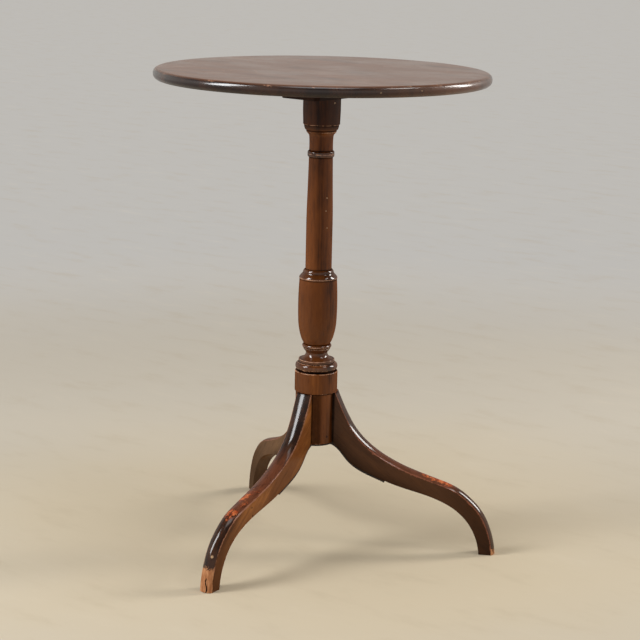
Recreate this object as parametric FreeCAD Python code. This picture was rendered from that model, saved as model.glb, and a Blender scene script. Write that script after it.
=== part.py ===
import FreeCAD, Part
import math
import os

# A round tilt-top pedestal table in mahogany. A thin round top turns on two dowels at the back of a
# rectangular block, the block sits on the head of a turned column, and three sawn legs are
# dovetailed into the column's foot over an iron strap. A sprung brass bolt locks the top level.
# Millimetres. Each piece is made about the column's axis, with the floor at z = 0, and at the end
# all are moved along Y until the origin is under the middle of the table's box. The dowels lie along
# X at the back, +Y, where the top hangs when it is tilted. The bolt and the front leg are at -Y.

Vec = FreeCAD.Vector
ORIGIN = Vec(0, 0, 0)
X_AXIS = Vec(1, 0, 0)
Y_AXIS = Vec(0, 1, 0)
Z_AXIS = Vec(0, 0, 1)

# Overall sizes
table_height = 725.0
top_diameter = 496.0
top_thickness = 16.0
top_edge_radius = 7.2
leg_reach = 281.5

# Clearances: glued joints, flat pieces that pass each other, and the turning and sliding fits
glue_line = 0.05
side_gap = 0.5
rest_gap = 0.3
pivot_clearance = 0.06
slide_clearance = 0.1
cut_overrun = 5.0

# The block on the column's head
block_length = 110.0
block_width = 71.0
block_drop = 24.0
block_corner_cut = 6.0

# Dowels that the top turns on, at the back of the block
dowel_radius = 4.0
dowel_drop = 9.0
dowel_sunk = 20.0
dowel_reach = 15.0
dowel_end_chamfer = 0.8

# Bearers under the top
bearer_length = 290.0
bearer_width = 22.0
bearer_depth = 17.0
bearer_end_depth = 7.0
bearer_level_length = 104.0
bearer_screw_shares = (-0.78, -0.12, 0.78)

# The column, from its foot up: each turned member has a height and a radius
column_foot_height = 163.0
stub_height = 77.5
stub_radius = 30.6
drum_height = 31.7
drum_radius = 32.3
drum_arris = 0.7
groove_height = 3.0
groove_radius = 30.0
torus_height = 9.9
torus_radius = 31.8
step_height = 5.2
step_radius = 27.2
cove_height = 17.5
cove_radius = 16.2
ring_height = 5.6
ring_radius = 22.2
vase_height = 100.2
vase_radius = 29.45
lip_height = 3.3
lip_radius = 28.7
lip_round = 0.5
shoulder_height = 6.3
collar_height = 5.1
collar_radius = 23.1
shaft_foot_radius = 19.7
shaft_top_radius = 17.8
bead_height = 9.4
bead_round = 2.6
bead_radius = 19.9
neck_height = 27.9
neck_radius = 17.5
fillet_height = 2.6
fillet_radius = 22.4
ovolo_height = 8.4
ovolo_radius = 25.9
head_height = 39.8
head_radius = 27.9
head_foot_radius = 27.2
tenon_radius = 12.0

# Outlines of the curved members: (share of the height, share of the widest radius)
torus_shares = ((0.0, 0.955), (0.15, 0.985), (0.35, 1.0), (0.55, 0.998), (0.72, 0.982),
                (0.86, 0.948), (0.95, 0.910), (1.0, 0.880))
cove_shares = ((0.0, 1.50), (0.08, 1.36), (0.16, 1.235), (0.25, 1.12), (0.34, 1.06), (0.43, 1.02),
               (0.52, 1.0), (0.61, 1.025), (0.70, 1.095), (0.79, 1.17), (0.87, 1.23), (1.0, 1.29))
vase_shares = ((0.0, 0.660), (0.03, 0.717), (0.06, 0.770), (0.12, 0.843), (0.20, 0.912), (0.30, 0.965),
               (0.42, 0.990), (0.58, 1.0), (0.76, 0.993), (0.90, 0.975), (1.0, 0.957))
shoulder_shares = ((0.0, 1.0), (0.20, 0.84), (0.44, 0.575), (0.70, 0.28), (0.90, 0.07), (1.0, 0.0))
shaft_swell_shares = ((0.0, 1.0), (0.25, 0.99), (0.5, 0.93), (0.75, 0.40), (1.0, 0.0))
neck_shares = ((0.0, 1.012), (0.12, 1.004), (0.30, 1.0), (0.50, 1.003), (0.65, 1.015), (0.75, 1.026),
               (0.81, 1.042), (0.86, 1.075), (0.91, 1.145), (0.96, 1.222), (1.0, 1.265))

# The wedge that spreads the tenon
wedge_thickness = 3.2
wedge_tip_thickness = 1.0
wedge_depth = 16.0

# Legs: azimuths in degrees, with the front leg six degrees round from an even third
front_leg_azimuth = -84.0
right_leg_azimuth = 30.0
left_leg_azimuth = 150.0
leg_width = 27.2
leg_toe_width = 20.6
leg_crown = 4.4
toe_chamfer = 1.2
tongue_depth = 13.0
tongue_neck_width = 11.0
tongue_back_width = 16.0
tongue_stop = 8.0
joint_overlap = 2.2

# Stations down the leg, on its crown and on its underside: shares of the reach and of the root's height
leg_upper_shares = ((0.085, 1.098), (0.140, 0.950), (0.178, 0.857), (0.226, 0.764), (0.294, 0.679),
                    (0.378, 0.608), (0.478, 0.548), (0.578, 0.504), (0.677, 0.466), (0.777, 0.422),
                    (0.856, 0.357), (0.920, 0.277), (0.9635, 0.182), (0.990, 0.080), (1.0, -0.008))
leg_lower_shares = ((0.085, 0.707), (0.115, 0.672), (0.135, 0.647), (0.171, 0.598), (0.220, 0.541),
                    (0.313, 0.484), (0.432, 0.429), (0.5435, 0.392), (0.643, 0.3595), (0.728, 0.319),
                    (0.788, 0.2755), (0.8395, 0.2185), (0.8765, 0.153), (0.9025, 0.077), (0.916, -0.008))

# Iron strap under the legs
strap_thickness = 3.0
strap_width = 23.0
strap_hub_radius = 28.5
strap_reach = 111.0
strap_screw_shares = (0.52, 0.86)
strap_bend_shares = (0.08, 0.28, 0.5, 0.75, 1.0)

# Brass catch under the top, in front of the block
catch_gap = 2.0
catch_plate_width = 33.0
catch_plate_thickness = 1.5
catch_wall = 1.4
catch_back_wall = 2.6
bolt_drop = 3.2
bolt_width = 10.0
bolt_thickness = 4.0
bolt_length = 26.0
bolt_travel = 8.0
bolt_bevel = 2.6
knob_radius = 4.5
knob_stem_radius = 2.0
knob_height = 4.2
knob_neck_height = 1.0
knob_share = 0.68
spring_length = 8.0
spring_radius = 1.55
spring_wire = 0.6
spring_pitch = 1.3
strike_width = 28.0
strike_height = 10.4
strike_top_margin = 0.8
strike_thickness = 1.5
strike_slot_margin = 0.4
mortise_depth = 9.0

# Screws: head radius, head height, shank radius and length
bearer_screw = (3.6, 2.6, 1.9, 19.0)
strap_screw = (3.4, 2.2, 1.8, 18.0)
catch_screw = (2.4, 1.4, 1.2, 9.0)
catch_screw_inset = 7.2
strike_screw = (2.2, 1.4, 1.1, 9.0)
screw_point_share = 0.25
slot_width = 0.7
slot_depth = 0.7
bearer_screw_bite = 9.0

# Heights and places that follow from the sizes above
top_underside = table_height - top_thickness
head_top = top_underside - block_drop
block_top = top_underside - rest_gap
dowel_z = top_underside - dowel_drop
block_back_radius = dowel_drop - rest_gap
dowel_y = block_length / 2 - block_back_radius
root_height = column_foot_height + stub_height
leg_azimuths = {"leg_front": front_leg_azimuth, "leg_right": right_leg_azimuth, "leg_left": left_leg_azimuth}
bearer_x = block_width / 2 + side_gap + bearer_width / 2
catch_front = -block_length / 2 - catch_gap
bolt_top = top_underside - bolt_drop
bolt_bottom = bolt_top - bolt_thickness
catch_length = bolt_length + spring_length + catch_back_wall


def smooth(points):
    """One smooth edge through the points."""
    curve = Part.BSplineCurve()
    curve.interpolate(points)
    return curve.toShape()


def box(x0, x1, y0, y1, z0, z1):
    """A box between two corners."""
    return Part.makeBox(x1 - x0, y1 - y0, z1 - z0, Vec(x0, y0, z0))


def prism(points, direction):
    """A straight prism on a closed outline."""
    return Part.Face(Part.makePolygon(points + [points[0]])).extrude(direction)


class Turning:
    """An outline in the XZ plane, drawn from the axis up, that is spun about the Z axis."""

    def __init__(self, height):
        self.start = Vec(0, 0, height)
        self.end = self.start
        self.edges = []

    def line(self, radius, height):
        """A straight run to a radius and height, unless the outline is there already."""
        point = Vec(radius, 0, height)
        if point != self.end:
            self.edges.append(Part.LineSegment(self.end, point).toShape())
        self.end = point

    def arc(self, mid_radius, mid_height, radius, height):
        """A round run through a middle point."""
        point = Vec(radius, 0, height)
        self.edges.append(Part.Arc(self.end, Vec(mid_radius, 0, mid_height), point).toShape())
        self.end = point

    def corner(self, radius, height):
        """A rounded corner up to a radius and height, bulging away from the axis."""
        near = math.sqrt(0.5)
        out = near if radius > self.end.x else 1 - near
        mid_radius = self.end.x + (radius - self.end.x) * out
        mid_height = self.end.z + (height - self.end.z) * (1 - out)
        self.arc(mid_radius, mid_height, radius, height)

    def curve(self, points):
        """A smooth run through (radius, height) pairs, the first of them joined by a line."""
        self.line(*points[0])
        self.edges.append(smooth([Vec(radius, 0, height) for radius, height in points]))
        self.end = Vec(points[-1][0], 0, points[-1][1])

    def solid(self):
        """Close the outline along the axis and spin it."""
        self.line(0, self.end.z)
        self.edges.append(Part.LineSegment(self.end, self.start).toShape())
        return Part.Face(Part.Wire(self.edges)).revolve(ORIGIN, Z_AXIS, 360)


def rounded_tip(turning, radius, low, high):
    """A half-round run at a radius, from one height to the next."""
    bulge = (high - low) / 2
    turning.line(radius - bulge, low)
    turning.arc(radius, low + bulge, radius - bulge, high)


def screw_outline(size, grow):
    """A countersunk wood screw that points up from its head's face at z = 0, grown for its hole."""
    head_radius, head_height, shank_radius, length = size
    turning = Turning(-grow)
    turning.line(head_radius + grow, -grow)
    turning.line(head_radius + grow, 0)
    turning.line(shank_radius + grow, head_height)
    turning.line(shank_radius + grow, length * (1 - screw_point_share))
    turning.line(0, length + grow)
    turning.edges.append(Part.LineSegment(turning.end, turning.start).toShape())
    return Part.Face(Part.Wire(turning.edges)).revolve(ORIGIN, Z_AXIS, 360)


def screw(size, point, direction):
    """A screw with its slot, its head's face at a point."""
    body = screw_outline(size, 0.0)
    reach = size[0] + slot_depth
    slot = box(-slot_width / 2, slot_width / 2, -reach, reach, -slot_depth, slot_depth)
    return placed(body.cut(slot), point, direction)


def screw_hole(size, point, direction):
    """The hole for a screw, open behind its head."""
    access = Part.makeCylinder(size[0] + glue_line, cut_overrun, ORIGIN, -Z_AXIS)
    return placed(screw_outline(size, glue_line).fuse(access), point, direction)


def placed(shape, point, direction):
    """Turn a shape's Z axis to a direction and move it to a point."""
    shape.Placement = FreeCAD.Placement(point, FreeCAD.Rotation(Z_AXIS, direction))
    return shape


def cut_all(shape, tools):
    """Cut several tools from a shape."""
    for tool in tools:
        shape = shape.cut(tool)
    return shape


# Screw places, shared by the screws and their holes
def bearer_underside(y):
    """Height of a bearer's underside at a distance along it."""
    level = bearer_level_length / 2
    slope = (bearer_depth - bearer_end_depth) / (bearer_length / 2 - level)
    return top_underside - bearer_depth + slope * max(0.0, abs(y) - level)


def bearer_screw_places(side):
    """Head points of one bearer's screws, sunk so that each bites the top by the same depth."""
    places = []
    for share in bearer_screw_shares:
        y = share * bearer_length / 2
        head = top_underside + bearer_screw_bite - bearer_screw[3]
        places.append(Vec(side * bearer_x, y, max(head, bearer_underside(y) + slot_depth)))
    return places


def catch_screw_places():
    """Head points of the catch's four screws, on its two wings."""
    x = (catch_plate_width + bolt_width) / 4 + catch_wall
    height = top_underside - catch_plate_thickness
    front = catch_front - catch_screw_inset
    back = catch_front - catch_length + catch_screw_inset
    return [Vec(side * x, y, height) for side in (-1, 1) for y in (front, back)]


def strike_screw_places():
    """Head points of the strike plate's two screws."""
    x = (strike_width + bolt_width) / 4
    height = block_top - strike_top_margin - strike_height / 2
    return [Vec(side * x, -block_length / 2, height) for side in (-1, 1)]


# The top and what it carries
def make_tabletop():
    """The round board with its rounded edge and the screws' pilot holes."""
    radius = top_diameter / 2
    board = Turning(top_underside)
    board.line(radius - top_edge_radius, top_underside)
    board.corner(radius, top_underside + top_edge_radius)
    board.line(radius, table_height - top_edge_radius)
    board.corner(radius - top_edge_radius, table_height)
    holes = [screw_hole(bearer_screw, point, Z_AXIS)
             for side in (-1, 1) for point in bearer_screw_places(side)]
    holes += [screw_hole(catch_screw, point, Z_AXIS) for point in catch_screw_places()]
    return cut_all(board.solid(), holes)


def make_bearer(side):
    """One batten: level over the block, tapered to its ends, bored for its dowel."""
    outer = bearer_length / 2
    level = bearer_level_length / 2
    outline = [(-outer, 0), (outer, 0), (outer, bearer_end_depth), (level, bearer_depth),
               (-level, bearer_depth), (-outer, bearer_end_depth)]
    inner_x = side * (bearer_x - bearer_width / 2)
    points = [Vec(inner_x, y, top_underside - depth) for y, depth in outline]
    batten = prism(points, Vec(side * bearer_width, 0, 0))
    bore_length = dowel_reach + side_gap
    bore = Part.makeCylinder(dowel_radius + pivot_clearance, bore_length + cut_overrun,
                             Vec(inner_x - side * cut_overrun, dowel_y, dowel_z), X_AXIS * side)
    holes = [screw_hole(bearer_screw, point, Z_AXIS) for point in bearer_screw_places(side)]
    return cut_all(batten, [bore] + holes)


def make_catch_case():
    """The catch's body: a plate against the top and a hollow housing for the bolt and spring."""
    back = catch_front - catch_length
    low = bolt_bottom - slide_clearance - catch_wall
    half = bolt_width / 2 + slide_clearance
    plate_low = top_underside - catch_plate_thickness
    plate = box(-catch_plate_width / 2, catch_plate_width / 2, back, catch_front, plate_low, top_underside)
    housing = box(-half - catch_wall, half + catch_wall, back, catch_front, low, plate_low)
    channel = box(-half, half, back + catch_back_wall, catch_front + cut_overrun,
                  bolt_bottom - slide_clearance, bolt_top + slide_clearance)
    knob_y = catch_front - bolt_length * knob_share
    reach = knob_stem_radius + slide_clearance
    window = box(-reach, reach, knob_y - reach, knob_y + bolt_travel + reach, low - cut_overrun, bolt_bottom)
    holes = [screw_hole(catch_screw, point, Z_AXIS) for point in catch_screw_places()]
    return cut_all(plate.fuse(housing).removeSplitter(), [channel, window] + holes)


def make_catch_bolt():
    """The flat bolt, drawn back, with a sloped nose and the hole for its knob."""
    half = bolt_width / 2
    nose = catch_front - slide_clearance
    tail = catch_front - bolt_length
    outline = [Vec(-half, tail, bolt_bottom), Vec(-half, nose - bolt_bevel, bolt_bottom),
               Vec(-half, nose, bolt_bottom + bolt_bevel), Vec(-half, nose, bolt_top),
               Vec(-half, tail, bolt_top)]
    stem = Part.makeCylinder(knob_stem_radius, bolt_thickness,
                             Vec(0, catch_front - bolt_length * knob_share, bolt_bottom))
    return prism(outline, Vec(bolt_width, 0, 0)).cut(stem)


def make_catch_knob():
    """The turned thumb knob, its stem set in the bolt."""
    under = bolt_bottom - slide_clearance - catch_wall - knob_neck_height
    knob = Turning(under - knob_height)
    rounded_tip(knob, knob_radius, under - knob_height, under)
    knob.line(knob_stem_radius, under)
    knob.line(knob_stem_radius, bolt_top)
    solid = knob.solid()
    solid.translate(Vec(0, catch_front - bolt_length * knob_share, 0))
    return solid


def make_catch_spring():
    """The compressed coil spring between the bolt's tail and the housing's back wall."""
    turns_length = spring_length - spring_wire - 2 * slide_clearance
    helix = Part.makeHelix(spring_pitch, turns_length, spring_radius)
    section = Part.Wire(Part.makeCircle(spring_wire / 2, Vec(spring_radius, 0, 0), Y_AXIS))
    coil = helix.makePipeShell([section], True, True)
    start = catch_front - bolt_length - slide_clearance - spring_wire / 2
    return placed(coil, Vec(0, start, (bolt_top + bolt_bottom) / 2), -Y_AXIS)


# The block and what is let into it
def tenon_hole():
    """The round mortise for the column's tenon."""
    start = Vec(0, 0, head_top - cut_overrun)
    return Part.makeCylinder(tenon_radius + glue_line, block_drop + 2 * cut_overrun, start)


def strike_outline(grow):
    """The strike plate's box, grown for its recess."""
    half = strike_width / 2 + grow
    high = block_top - strike_top_margin + grow
    low = block_top - strike_top_margin - strike_height - grow
    front = -block_length / 2
    return box(-half, half, front, front + strike_thickness + grow, low, high)


def bolt_mortise(grow):
    """The hole that the bolt's nose enters."""
    half = bolt_width / 2 + strike_slot_margin + grow
    front = -block_length / 2
    return box(-half, half, front - cut_overrun, front + mortise_depth,
               bolt_bottom - strike_slot_margin - grow, bolt_top + strike_slot_margin + grow)


def make_tilt_block():
    """The block: corners cut at the front, its top back edge rounded about the dowels."""
    half = block_length / 2
    side = block_width / 2
    turn = block_back_radius * math.sqrt(0.5)
    x = -side
    front_low = Vec(x, -half, head_top)
    back_low = Vec(x, half, head_top)
    back_mid = Vec(x, half, dowel_z)
    crest = Vec(x, dowel_y, dowel_z + block_back_radius)
    front_high = Vec(x, -half, block_top)
    corners = [front_low, back_low, back_mid]
    edges = [Part.LineSegment(a, b).toShape() for a, b in zip(corners, corners[1:])]
    edges.append(Part.Arc(back_mid, Vec(x, dowel_y + turn, dowel_z + turn), crest).toShape())
    edges.append(Part.LineSegment(crest, front_high).toShape())
    edges.append(Part.LineSegment(front_high, front_low).toShape())
    body = Part.Face(Part.Wire(edges)).extrude(Vec(block_width, 0, 0))
    for hand in (-1, 1):
        corner = [Vec(hand * side, -half, head_top - cut_overrun),
                  Vec(hand * (side - block_corner_cut), -half, head_top - cut_overrun),
                  Vec(hand * side, -half + block_corner_cut, head_top - cut_overrun)]
        body = body.cut(prism(corner, Vec(0, 0, block_drop + 2 * cut_overrun)))
    bores = [Part.makeCylinder(dowel_radius + glue_line, dowel_sunk + cut_overrun,
                               Vec(hand * (side - dowel_sunk), dowel_y, dowel_z), X_AXIS * hand)
             for hand in (-1, 1)]
    holes = [screw_hole(strike_screw, point, Y_AXIS) for point in strike_screw_places()]
    return cut_all(body, [tenon_hole(), strike_outline(glue_line), bolt_mortise(0)] + bores + holes)


def make_pivot_dowels():
    """Two dowels glued into the block's sides, with chamfered free ends."""
    dowels = []
    length = dowel_sunk + side_gap + dowel_reach
    for hand in (-1, 1):
        dowel = Turning(0)
        dowel.line(dowel_radius, 0)
        dowel.line(dowel_radius, length - dowel_end_chamfer)
        dowel.line(dowel_radius - dowel_end_chamfer, length)
        start = Vec(hand * (block_width / 2 - dowel_sunk), dowel_y, dowel_z)
        dowels.append(placed(dowel.solid(), start, X_AXIS * hand))
    return Part.makeCompound(dowels)


def make_strike_plate():
    """The brass plate that the bolt locks in."""
    holes = [screw_hole(strike_screw, point, Y_AXIS) for point in strike_screw_places()]
    return cut_all(strike_outline(0), [bolt_mortise(0)] + holes)


# The column
def wedge_prism():
    """The wedge, driven into the tenon from above."""
    top = wedge_thickness / 2
    tip = wedge_tip_thickness / 2
    outline = [Vec(-top, 0, block_top), Vec(top, 0, block_top), Vec(tip, 0, block_top - wedge_depth),
               Vec(-tip, 0, block_top - wedge_depth)]
    shape = prism(outline, Vec(0, 2 * tenon_radius, 0))
    shape.translate(Vec(0, -tenon_radius, 0))
    return shape


def make_tenon_wedge():
    """The wedge trimmed to the tenon's round."""
    return wedge_prism().common(Part.makeCylinder(tenon_radius, block_drop, Vec(0, 0, head_top)))


def tongue(azimuth, grow):
    """A leg's dovetail tongue, or its socket when grown, from the column's foot up."""
    inner = stub_radius - tongue_depth - grow
    outer = stub_radius + joint_overlap
    neck = tongue_neck_width / 2 + grow
    back = tongue_back_width / 2 + grow
    low = column_foot_height - (cut_overrun if grow else 0)
    high = root_height - tongue_stop + grow
    outline = [Vec(inner, -back, low), Vec(outer, -neck, low), Vec(outer, neck, low), Vec(inner, back, low)]
    shape = prism(outline, Vec(0, 0, high - low))
    shape.rotate(ORIGIN, Z_AXIS, azimuth)
    return shape


def make_column():
    """The turned column with its tenon, sockets and wedge slot."""
    z = column_foot_height
    turned = Turning(z)
    turned.line(stub_radius, z)
    z += stub_height
    turned.line(stub_radius, z)
    turned.line(drum_radius - drum_arris, z)
    turned.line(drum_radius, z + drum_arris)
    z += drum_height
    turned.line(drum_radius, z - drum_arris)
    turned.line(drum_radius - drum_arris, z)
    turned.line(groove_radius, z)
    z += groove_height
    turned.line(groove_radius, z)
    turned.curve([(torus_radius * wide, z + torus_height * up) for up, wide in torus_shares])
    z += torus_height
    turned.line(step_radius, z)
    z += step_height
    turned.line(cove_radius * cove_shares[0][1], z)
    turned.curve([(cove_radius * wide, z + cove_height * up) for up, wide in cove_shares])
    z += cove_height
    rounded_tip(turned, ring_radius, z, z + ring_height)
    z += ring_height
    turned.curve([(vase_radius * wide, z + vase_height * up) for up, wide in vase_shares])
    z += vase_height
    turned.arc(lip_radius, z + lip_height / 2, lip_radius - lip_round, z + lip_height)
    z += lip_height
    spread = lip_radius - lip_round - collar_radius
    turned.curve([(collar_radius + spread * wide, z + shoulder_height * up) for up, wide in shoulder_shares])
    z += shoulder_height
    turned.corner(shaft_foot_radius, z + collar_height)
    z += collar_height
    above = (bead_height, neck_height, fillet_height, ovolo_height, head_height)
    shaft_height = head_top - z - sum(above)
    swell = shaft_foot_radius - shaft_top_radius
    turned.curve([(shaft_top_radius + swell * wide, z + shaft_height * up)
                  for up, wide in shaft_swell_shares])
    z += shaft_height
    turned.corner(bead_radius, z + bead_round)
    z += bead_height
    turned.line(bead_radius, z - bead_round)
    turned.corner(neck_radius * neck_shares[0][1], z)
    turned.curve([(neck_radius * wide, z + neck_height * up) for up, wide in neck_shares])
    z += neck_height
    turned.line(fillet_radius, z)
    z += fillet_height
    turned.line(fillet_radius, z)
    turned.corner(ovolo_radius, z + ovolo_height)
    z += ovolo_height
    turned.line(head_foot_radius, z)
    turned.line(head_radius, z + head_height / 2)
    turned.line(head_radius, z + head_height)
    turned.line(tenon_radius, head_top)
    turned.line(tenon_radius, block_top)
    sockets = [tongue(azimuth, glue_line) for azimuth in leg_azimuths.values()]
    return cut_all(turned.solid(), sockets + [wedge_prism(), strap_screw_hole_at_hub()])


# Legs
def station_points(shares):
    """(distance, height) of each station down the leg."""
    return [(leg_reach * out, root_height * up) for out, up in shares]


def leg_section(upper, lower, width):
    """One cross-section of a leg at azimuth 0: flat sides and underside, and a crowned top."""
    high = Vec(upper[0], 0, upper[1])
    low = Vec(lower[0], 0, lower[1])
    shoulder = high + (low - high).normalize() * leg_crown
    side = Vec(0, width / 2, 0)
    edges = [Part.LineSegment(low - side, low + side).toShape(),
             Part.LineSegment(low + side, shoulder + side).toShape(),
             Part.Arc(shoulder + side, high, shoulder - side).toShape(),
             Part.LineSegment(shoulder - side, low - side).toShape()]
    return Part.Wire(edges)


def make_leg_blank():
    """A leg at azimuth 0 before its joint is cut: a smooth loft through its stations."""
    uppers = station_points(leg_upper_shares)
    lowers = station_points(leg_lower_shares)
    sections = []
    for upper, lower in zip(uppers, lowers):
        width = leg_width + (leg_toe_width - leg_width) * upper[0] / leg_reach
        sections.append(leg_section(upper, lower, width))
    blank = Part.makeLoft(sections, True, False)
    floor = box(-cut_overrun, leg_reach + cut_overrun, -leg_width, leg_width, -root_height, 0)
    above = box(-cut_overrun, leg_reach, -leg_width, leg_width, root_height - glue_line, 2 * root_height)
    stub = Part.makeCylinder(stub_radius + glue_line, 2 * root_height)
    return cut_all(blank, [floor, above, stub])


def underside_curve():
    """The underside's line in the leg's plane."""
    curve = Part.BSplineCurve()
    curve.interpolate([Vec(out, 0, up) for out, up in station_points(leg_lower_shares)])
    return curve


def underside_at(distance):
    """The underside's point and its outward normal at a distance from the column's axis."""
    curve = underside_curve()
    line = Part.makeLine(Vec(distance, 0, -root_height), Vec(distance, 0, root_height))
    point = curve.toShape().distToShape(line)[1][0][0]
    tangent = curve.tangent(curve.parameter(point))[0]
    return point, Vec(tangent.z, 0, -tangent.x) * (1 if tangent.x > 0 else -1)


def strap_screw_seats():
    """Head points and directions of one arm's screws at azimuth 0."""
    seats = []
    for share in strap_screw_shares:
        point, outward = underside_at(strap_reach * share)
        seats.append((point + outward * strap_thickness, -outward))
    return seats


def turned_to(shape, azimuth):
    """A copy of a shape turned about the column's axis."""
    copy = shape.copy()
    copy.rotate(ORIGIN, Z_AXIS, azimuth)
    return copy


def make_leg(azimuth):
    """One leg with its tongue and its screw holes."""
    leg = make_leg_blank()
    foot = [edge for edge in leg.Edges if edge.BoundBox.ZMax < toe_chamfer / 2]
    leg = leg.makeChamfer(toe_chamfer, foot)
    leg = leg.fuse(tongue(0, 0)).removeSplitter()
    leg = cut_all(leg, [screw_hole(strap_screw, point, way) for point, way in strap_screw_seats()])
    return turned_to(leg, azimuth)


# The iron strap
def strap_screw_hole_at_hub():
    """The hole for the strap's middle screw."""
    return screw_hole(strap_screw, Vec(0, 0, column_foot_height - strap_thickness), Z_AXIS)


def strap_arm():
    """One arm at azimuth 0: a flat bar bent along the leg's underside."""
    hub_low = column_foot_height - strap_thickness
    distances = [stub_radius + (strap_reach - stub_radius) * share for share in strap_bend_shares]
    under = [underside_at(distance) for distance in distances]
    outer = [Vec(strap_hub_radius - strap_thickness, 0, hub_low)]
    outer += [p + n * strap_thickness for p, n in under]
    inner = [Vec(strap_hub_radius - strap_thickness, 0, column_foot_height + joint_overlap)]
    inner += [p - n * joint_overlap for p, n in under]
    edges = [smooth(outer), Part.LineSegment(outer[-1], inner[-1]).toShape(), smooth(inner),
             Part.LineSegment(inner[0], outer[0]).toShape()]
    band = Part.Face(Part.Wire(edges)).extrude(Vec(0, strap_width, 0))
    band.translate(Vec(0, -strap_width / 2, 0))
    foot = Part.makeCylinder(stub_radius + glue_line, stub_height, Vec(0, 0, column_foot_height))
    return cut_all(band, [make_leg_blank(), foot, tongue(0, 0)])


def make_brace_plate():
    """The three-armed strap, one bent arm under each leg."""
    hub_low = Vec(0, 0, column_foot_height - strap_thickness)
    hub = Part.makeCylinder(strap_hub_radius, strap_thickness, hub_low)
    arm = strap_arm()
    holes = [screw_hole(strap_screw, point, way) for point, way in strap_screw_seats()]
    for azimuth in leg_azimuths.values():
        hub = hub.fuse(turned_to(cut_all(arm, holes), azimuth))
    return hub.removeSplitter().cut(strap_screw_hole_at_hub())


def make_brace_screws():
    """One screw at the hub and two in each arm."""
    screws = [screw(strap_screw, Vec(0, 0, column_foot_height - strap_thickness), Z_AXIS)]
    for azimuth in leg_azimuths.values():
        for point, way in strap_screw_seats():
            seated = Part.makeCompound([screw(strap_screw, point, way)])
            screws.append(turned_to(seated, azimuth).Solids[0])
    return Part.makeCompound(screws)


def screws(size, places, way):
    """Several screws that point one way, as one group."""
    return Part.makeCompound([screw(size, point, way) for point in places])


def build():
    """Every named piece of the table."""
    pieces = {
        "tabletop": make_tabletop(),
        "bearer_right": make_bearer(1),
        "bearer_left": make_bearer(-1),
        "bearer_screws": screws(bearer_screw, bearer_screw_places(-1) + bearer_screw_places(1), Z_AXIS),
        "catch_case": make_catch_case(),
        "catch_spring": make_catch_spring(),
        "catch_screws": screws(catch_screw, catch_screw_places(), Z_AXIS),
        "catch_bolt": make_catch_bolt(),
        "catch_knob": make_catch_knob(),
        "tilt_block": make_tilt_block(),
        "pivot_dowels": make_pivot_dowels(),
        "strike_plate": make_strike_plate(),
        "strike_screws": screws(strike_screw, strike_screw_places(), Y_AXIS),
        "tenon_wedge": make_tenon_wedge(),
        "column": make_column(),
        "brace_plate": make_brace_plate(),
        "brace_screws": make_brace_screws(),
    }
    for name, azimuth in leg_azimuths.items():
        pieces[name] = make_leg(azimuth)
    return pieces


def to_the_middle(pieces):
    """The move that brings the middle of the pieces' common box over the origin."""
    bounds = Part.makeCompound(list(pieces.values())).optimalBoundingBox(False, False)
    return Vec(0, -bounds.Center.y, 0)


os.makedirs("parts", exist_ok=True)
table = build()
move = to_the_middle(table)
print("column axis moved to y =", round(move.y, 3))
for name, shape in table.items():
    shape.translate(move)
    shape.exportStep("parts/" + name + ".step")
    volumes = [round(solid.Volume, 1) for solid in shape.Solids]
    print(name, shape.isValid(), len(shape.Solids), "solids", volumes)
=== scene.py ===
"""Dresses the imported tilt-top pedestal table in its old French-polished mahogany.

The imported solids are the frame. The column, the round top and the three legs are made again here as
dense, smooth surfaces in the same places, the block, the battens and the strap are eased copies of
their solids, and the other solids get their own finishes. Sizes are in metres, in the frame's own
axes: the floor is z = 0, and the column stands a little behind the origin.
"""
from __future__ import annotations

import logging
import math
from collections.abc import Iterator
from contextlib import contextmanager
from dataclasses import dataclass, field
from enum import Enum

import bmesh
import bpy
import numpy as np
from mathutils import Matrix, Vector

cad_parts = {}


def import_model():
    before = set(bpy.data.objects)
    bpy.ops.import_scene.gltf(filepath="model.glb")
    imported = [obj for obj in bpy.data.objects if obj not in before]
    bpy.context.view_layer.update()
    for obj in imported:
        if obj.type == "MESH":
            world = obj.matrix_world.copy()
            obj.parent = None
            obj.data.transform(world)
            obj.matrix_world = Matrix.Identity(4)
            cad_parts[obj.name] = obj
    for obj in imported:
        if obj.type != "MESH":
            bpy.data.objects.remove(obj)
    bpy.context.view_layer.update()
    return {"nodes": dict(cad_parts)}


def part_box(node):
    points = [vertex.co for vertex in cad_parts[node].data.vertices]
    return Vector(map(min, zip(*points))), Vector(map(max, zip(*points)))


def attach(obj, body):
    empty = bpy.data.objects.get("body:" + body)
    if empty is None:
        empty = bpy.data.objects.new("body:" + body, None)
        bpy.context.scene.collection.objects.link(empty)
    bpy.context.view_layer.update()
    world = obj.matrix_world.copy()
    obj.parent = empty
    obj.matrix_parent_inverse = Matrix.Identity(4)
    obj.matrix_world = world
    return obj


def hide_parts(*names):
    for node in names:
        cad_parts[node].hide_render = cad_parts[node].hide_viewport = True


LOG = logging.getLogger("pedestal_table")
MM = 0.001
FULL_TURN = 2 * math.pi

Shade = tuple[int, int, int]
Triple = tuple[float, float, float]
Member = tuple[float, float]
Ramp = tuple[float, float]
Shares = tuple[tuple[float, float], ...]
Socket = bpy.types.NodeSocket


class Mark(Enum):
    """Values painted on a piece's points, which its finish reads by name."""

    # Lighter arrises: partly polish rubbed through, partly painted highlights.
    ARRIS = "arris"
    # Painted shade in hollows, the groove, beside the legs' roots, under the drum and on the legs' low sides.
    RECESS = "recess"
    # Dark old varnish, and on the column's head painted shade under the top.
    CROWN = "crown"
    BARE = "bare"
    SCUFF = "scuff"
    UNDERSIDE = "underside"
    TRODDEN = "trodden"
    SPLIT = "split"
    POOLED = "pooled"


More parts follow.
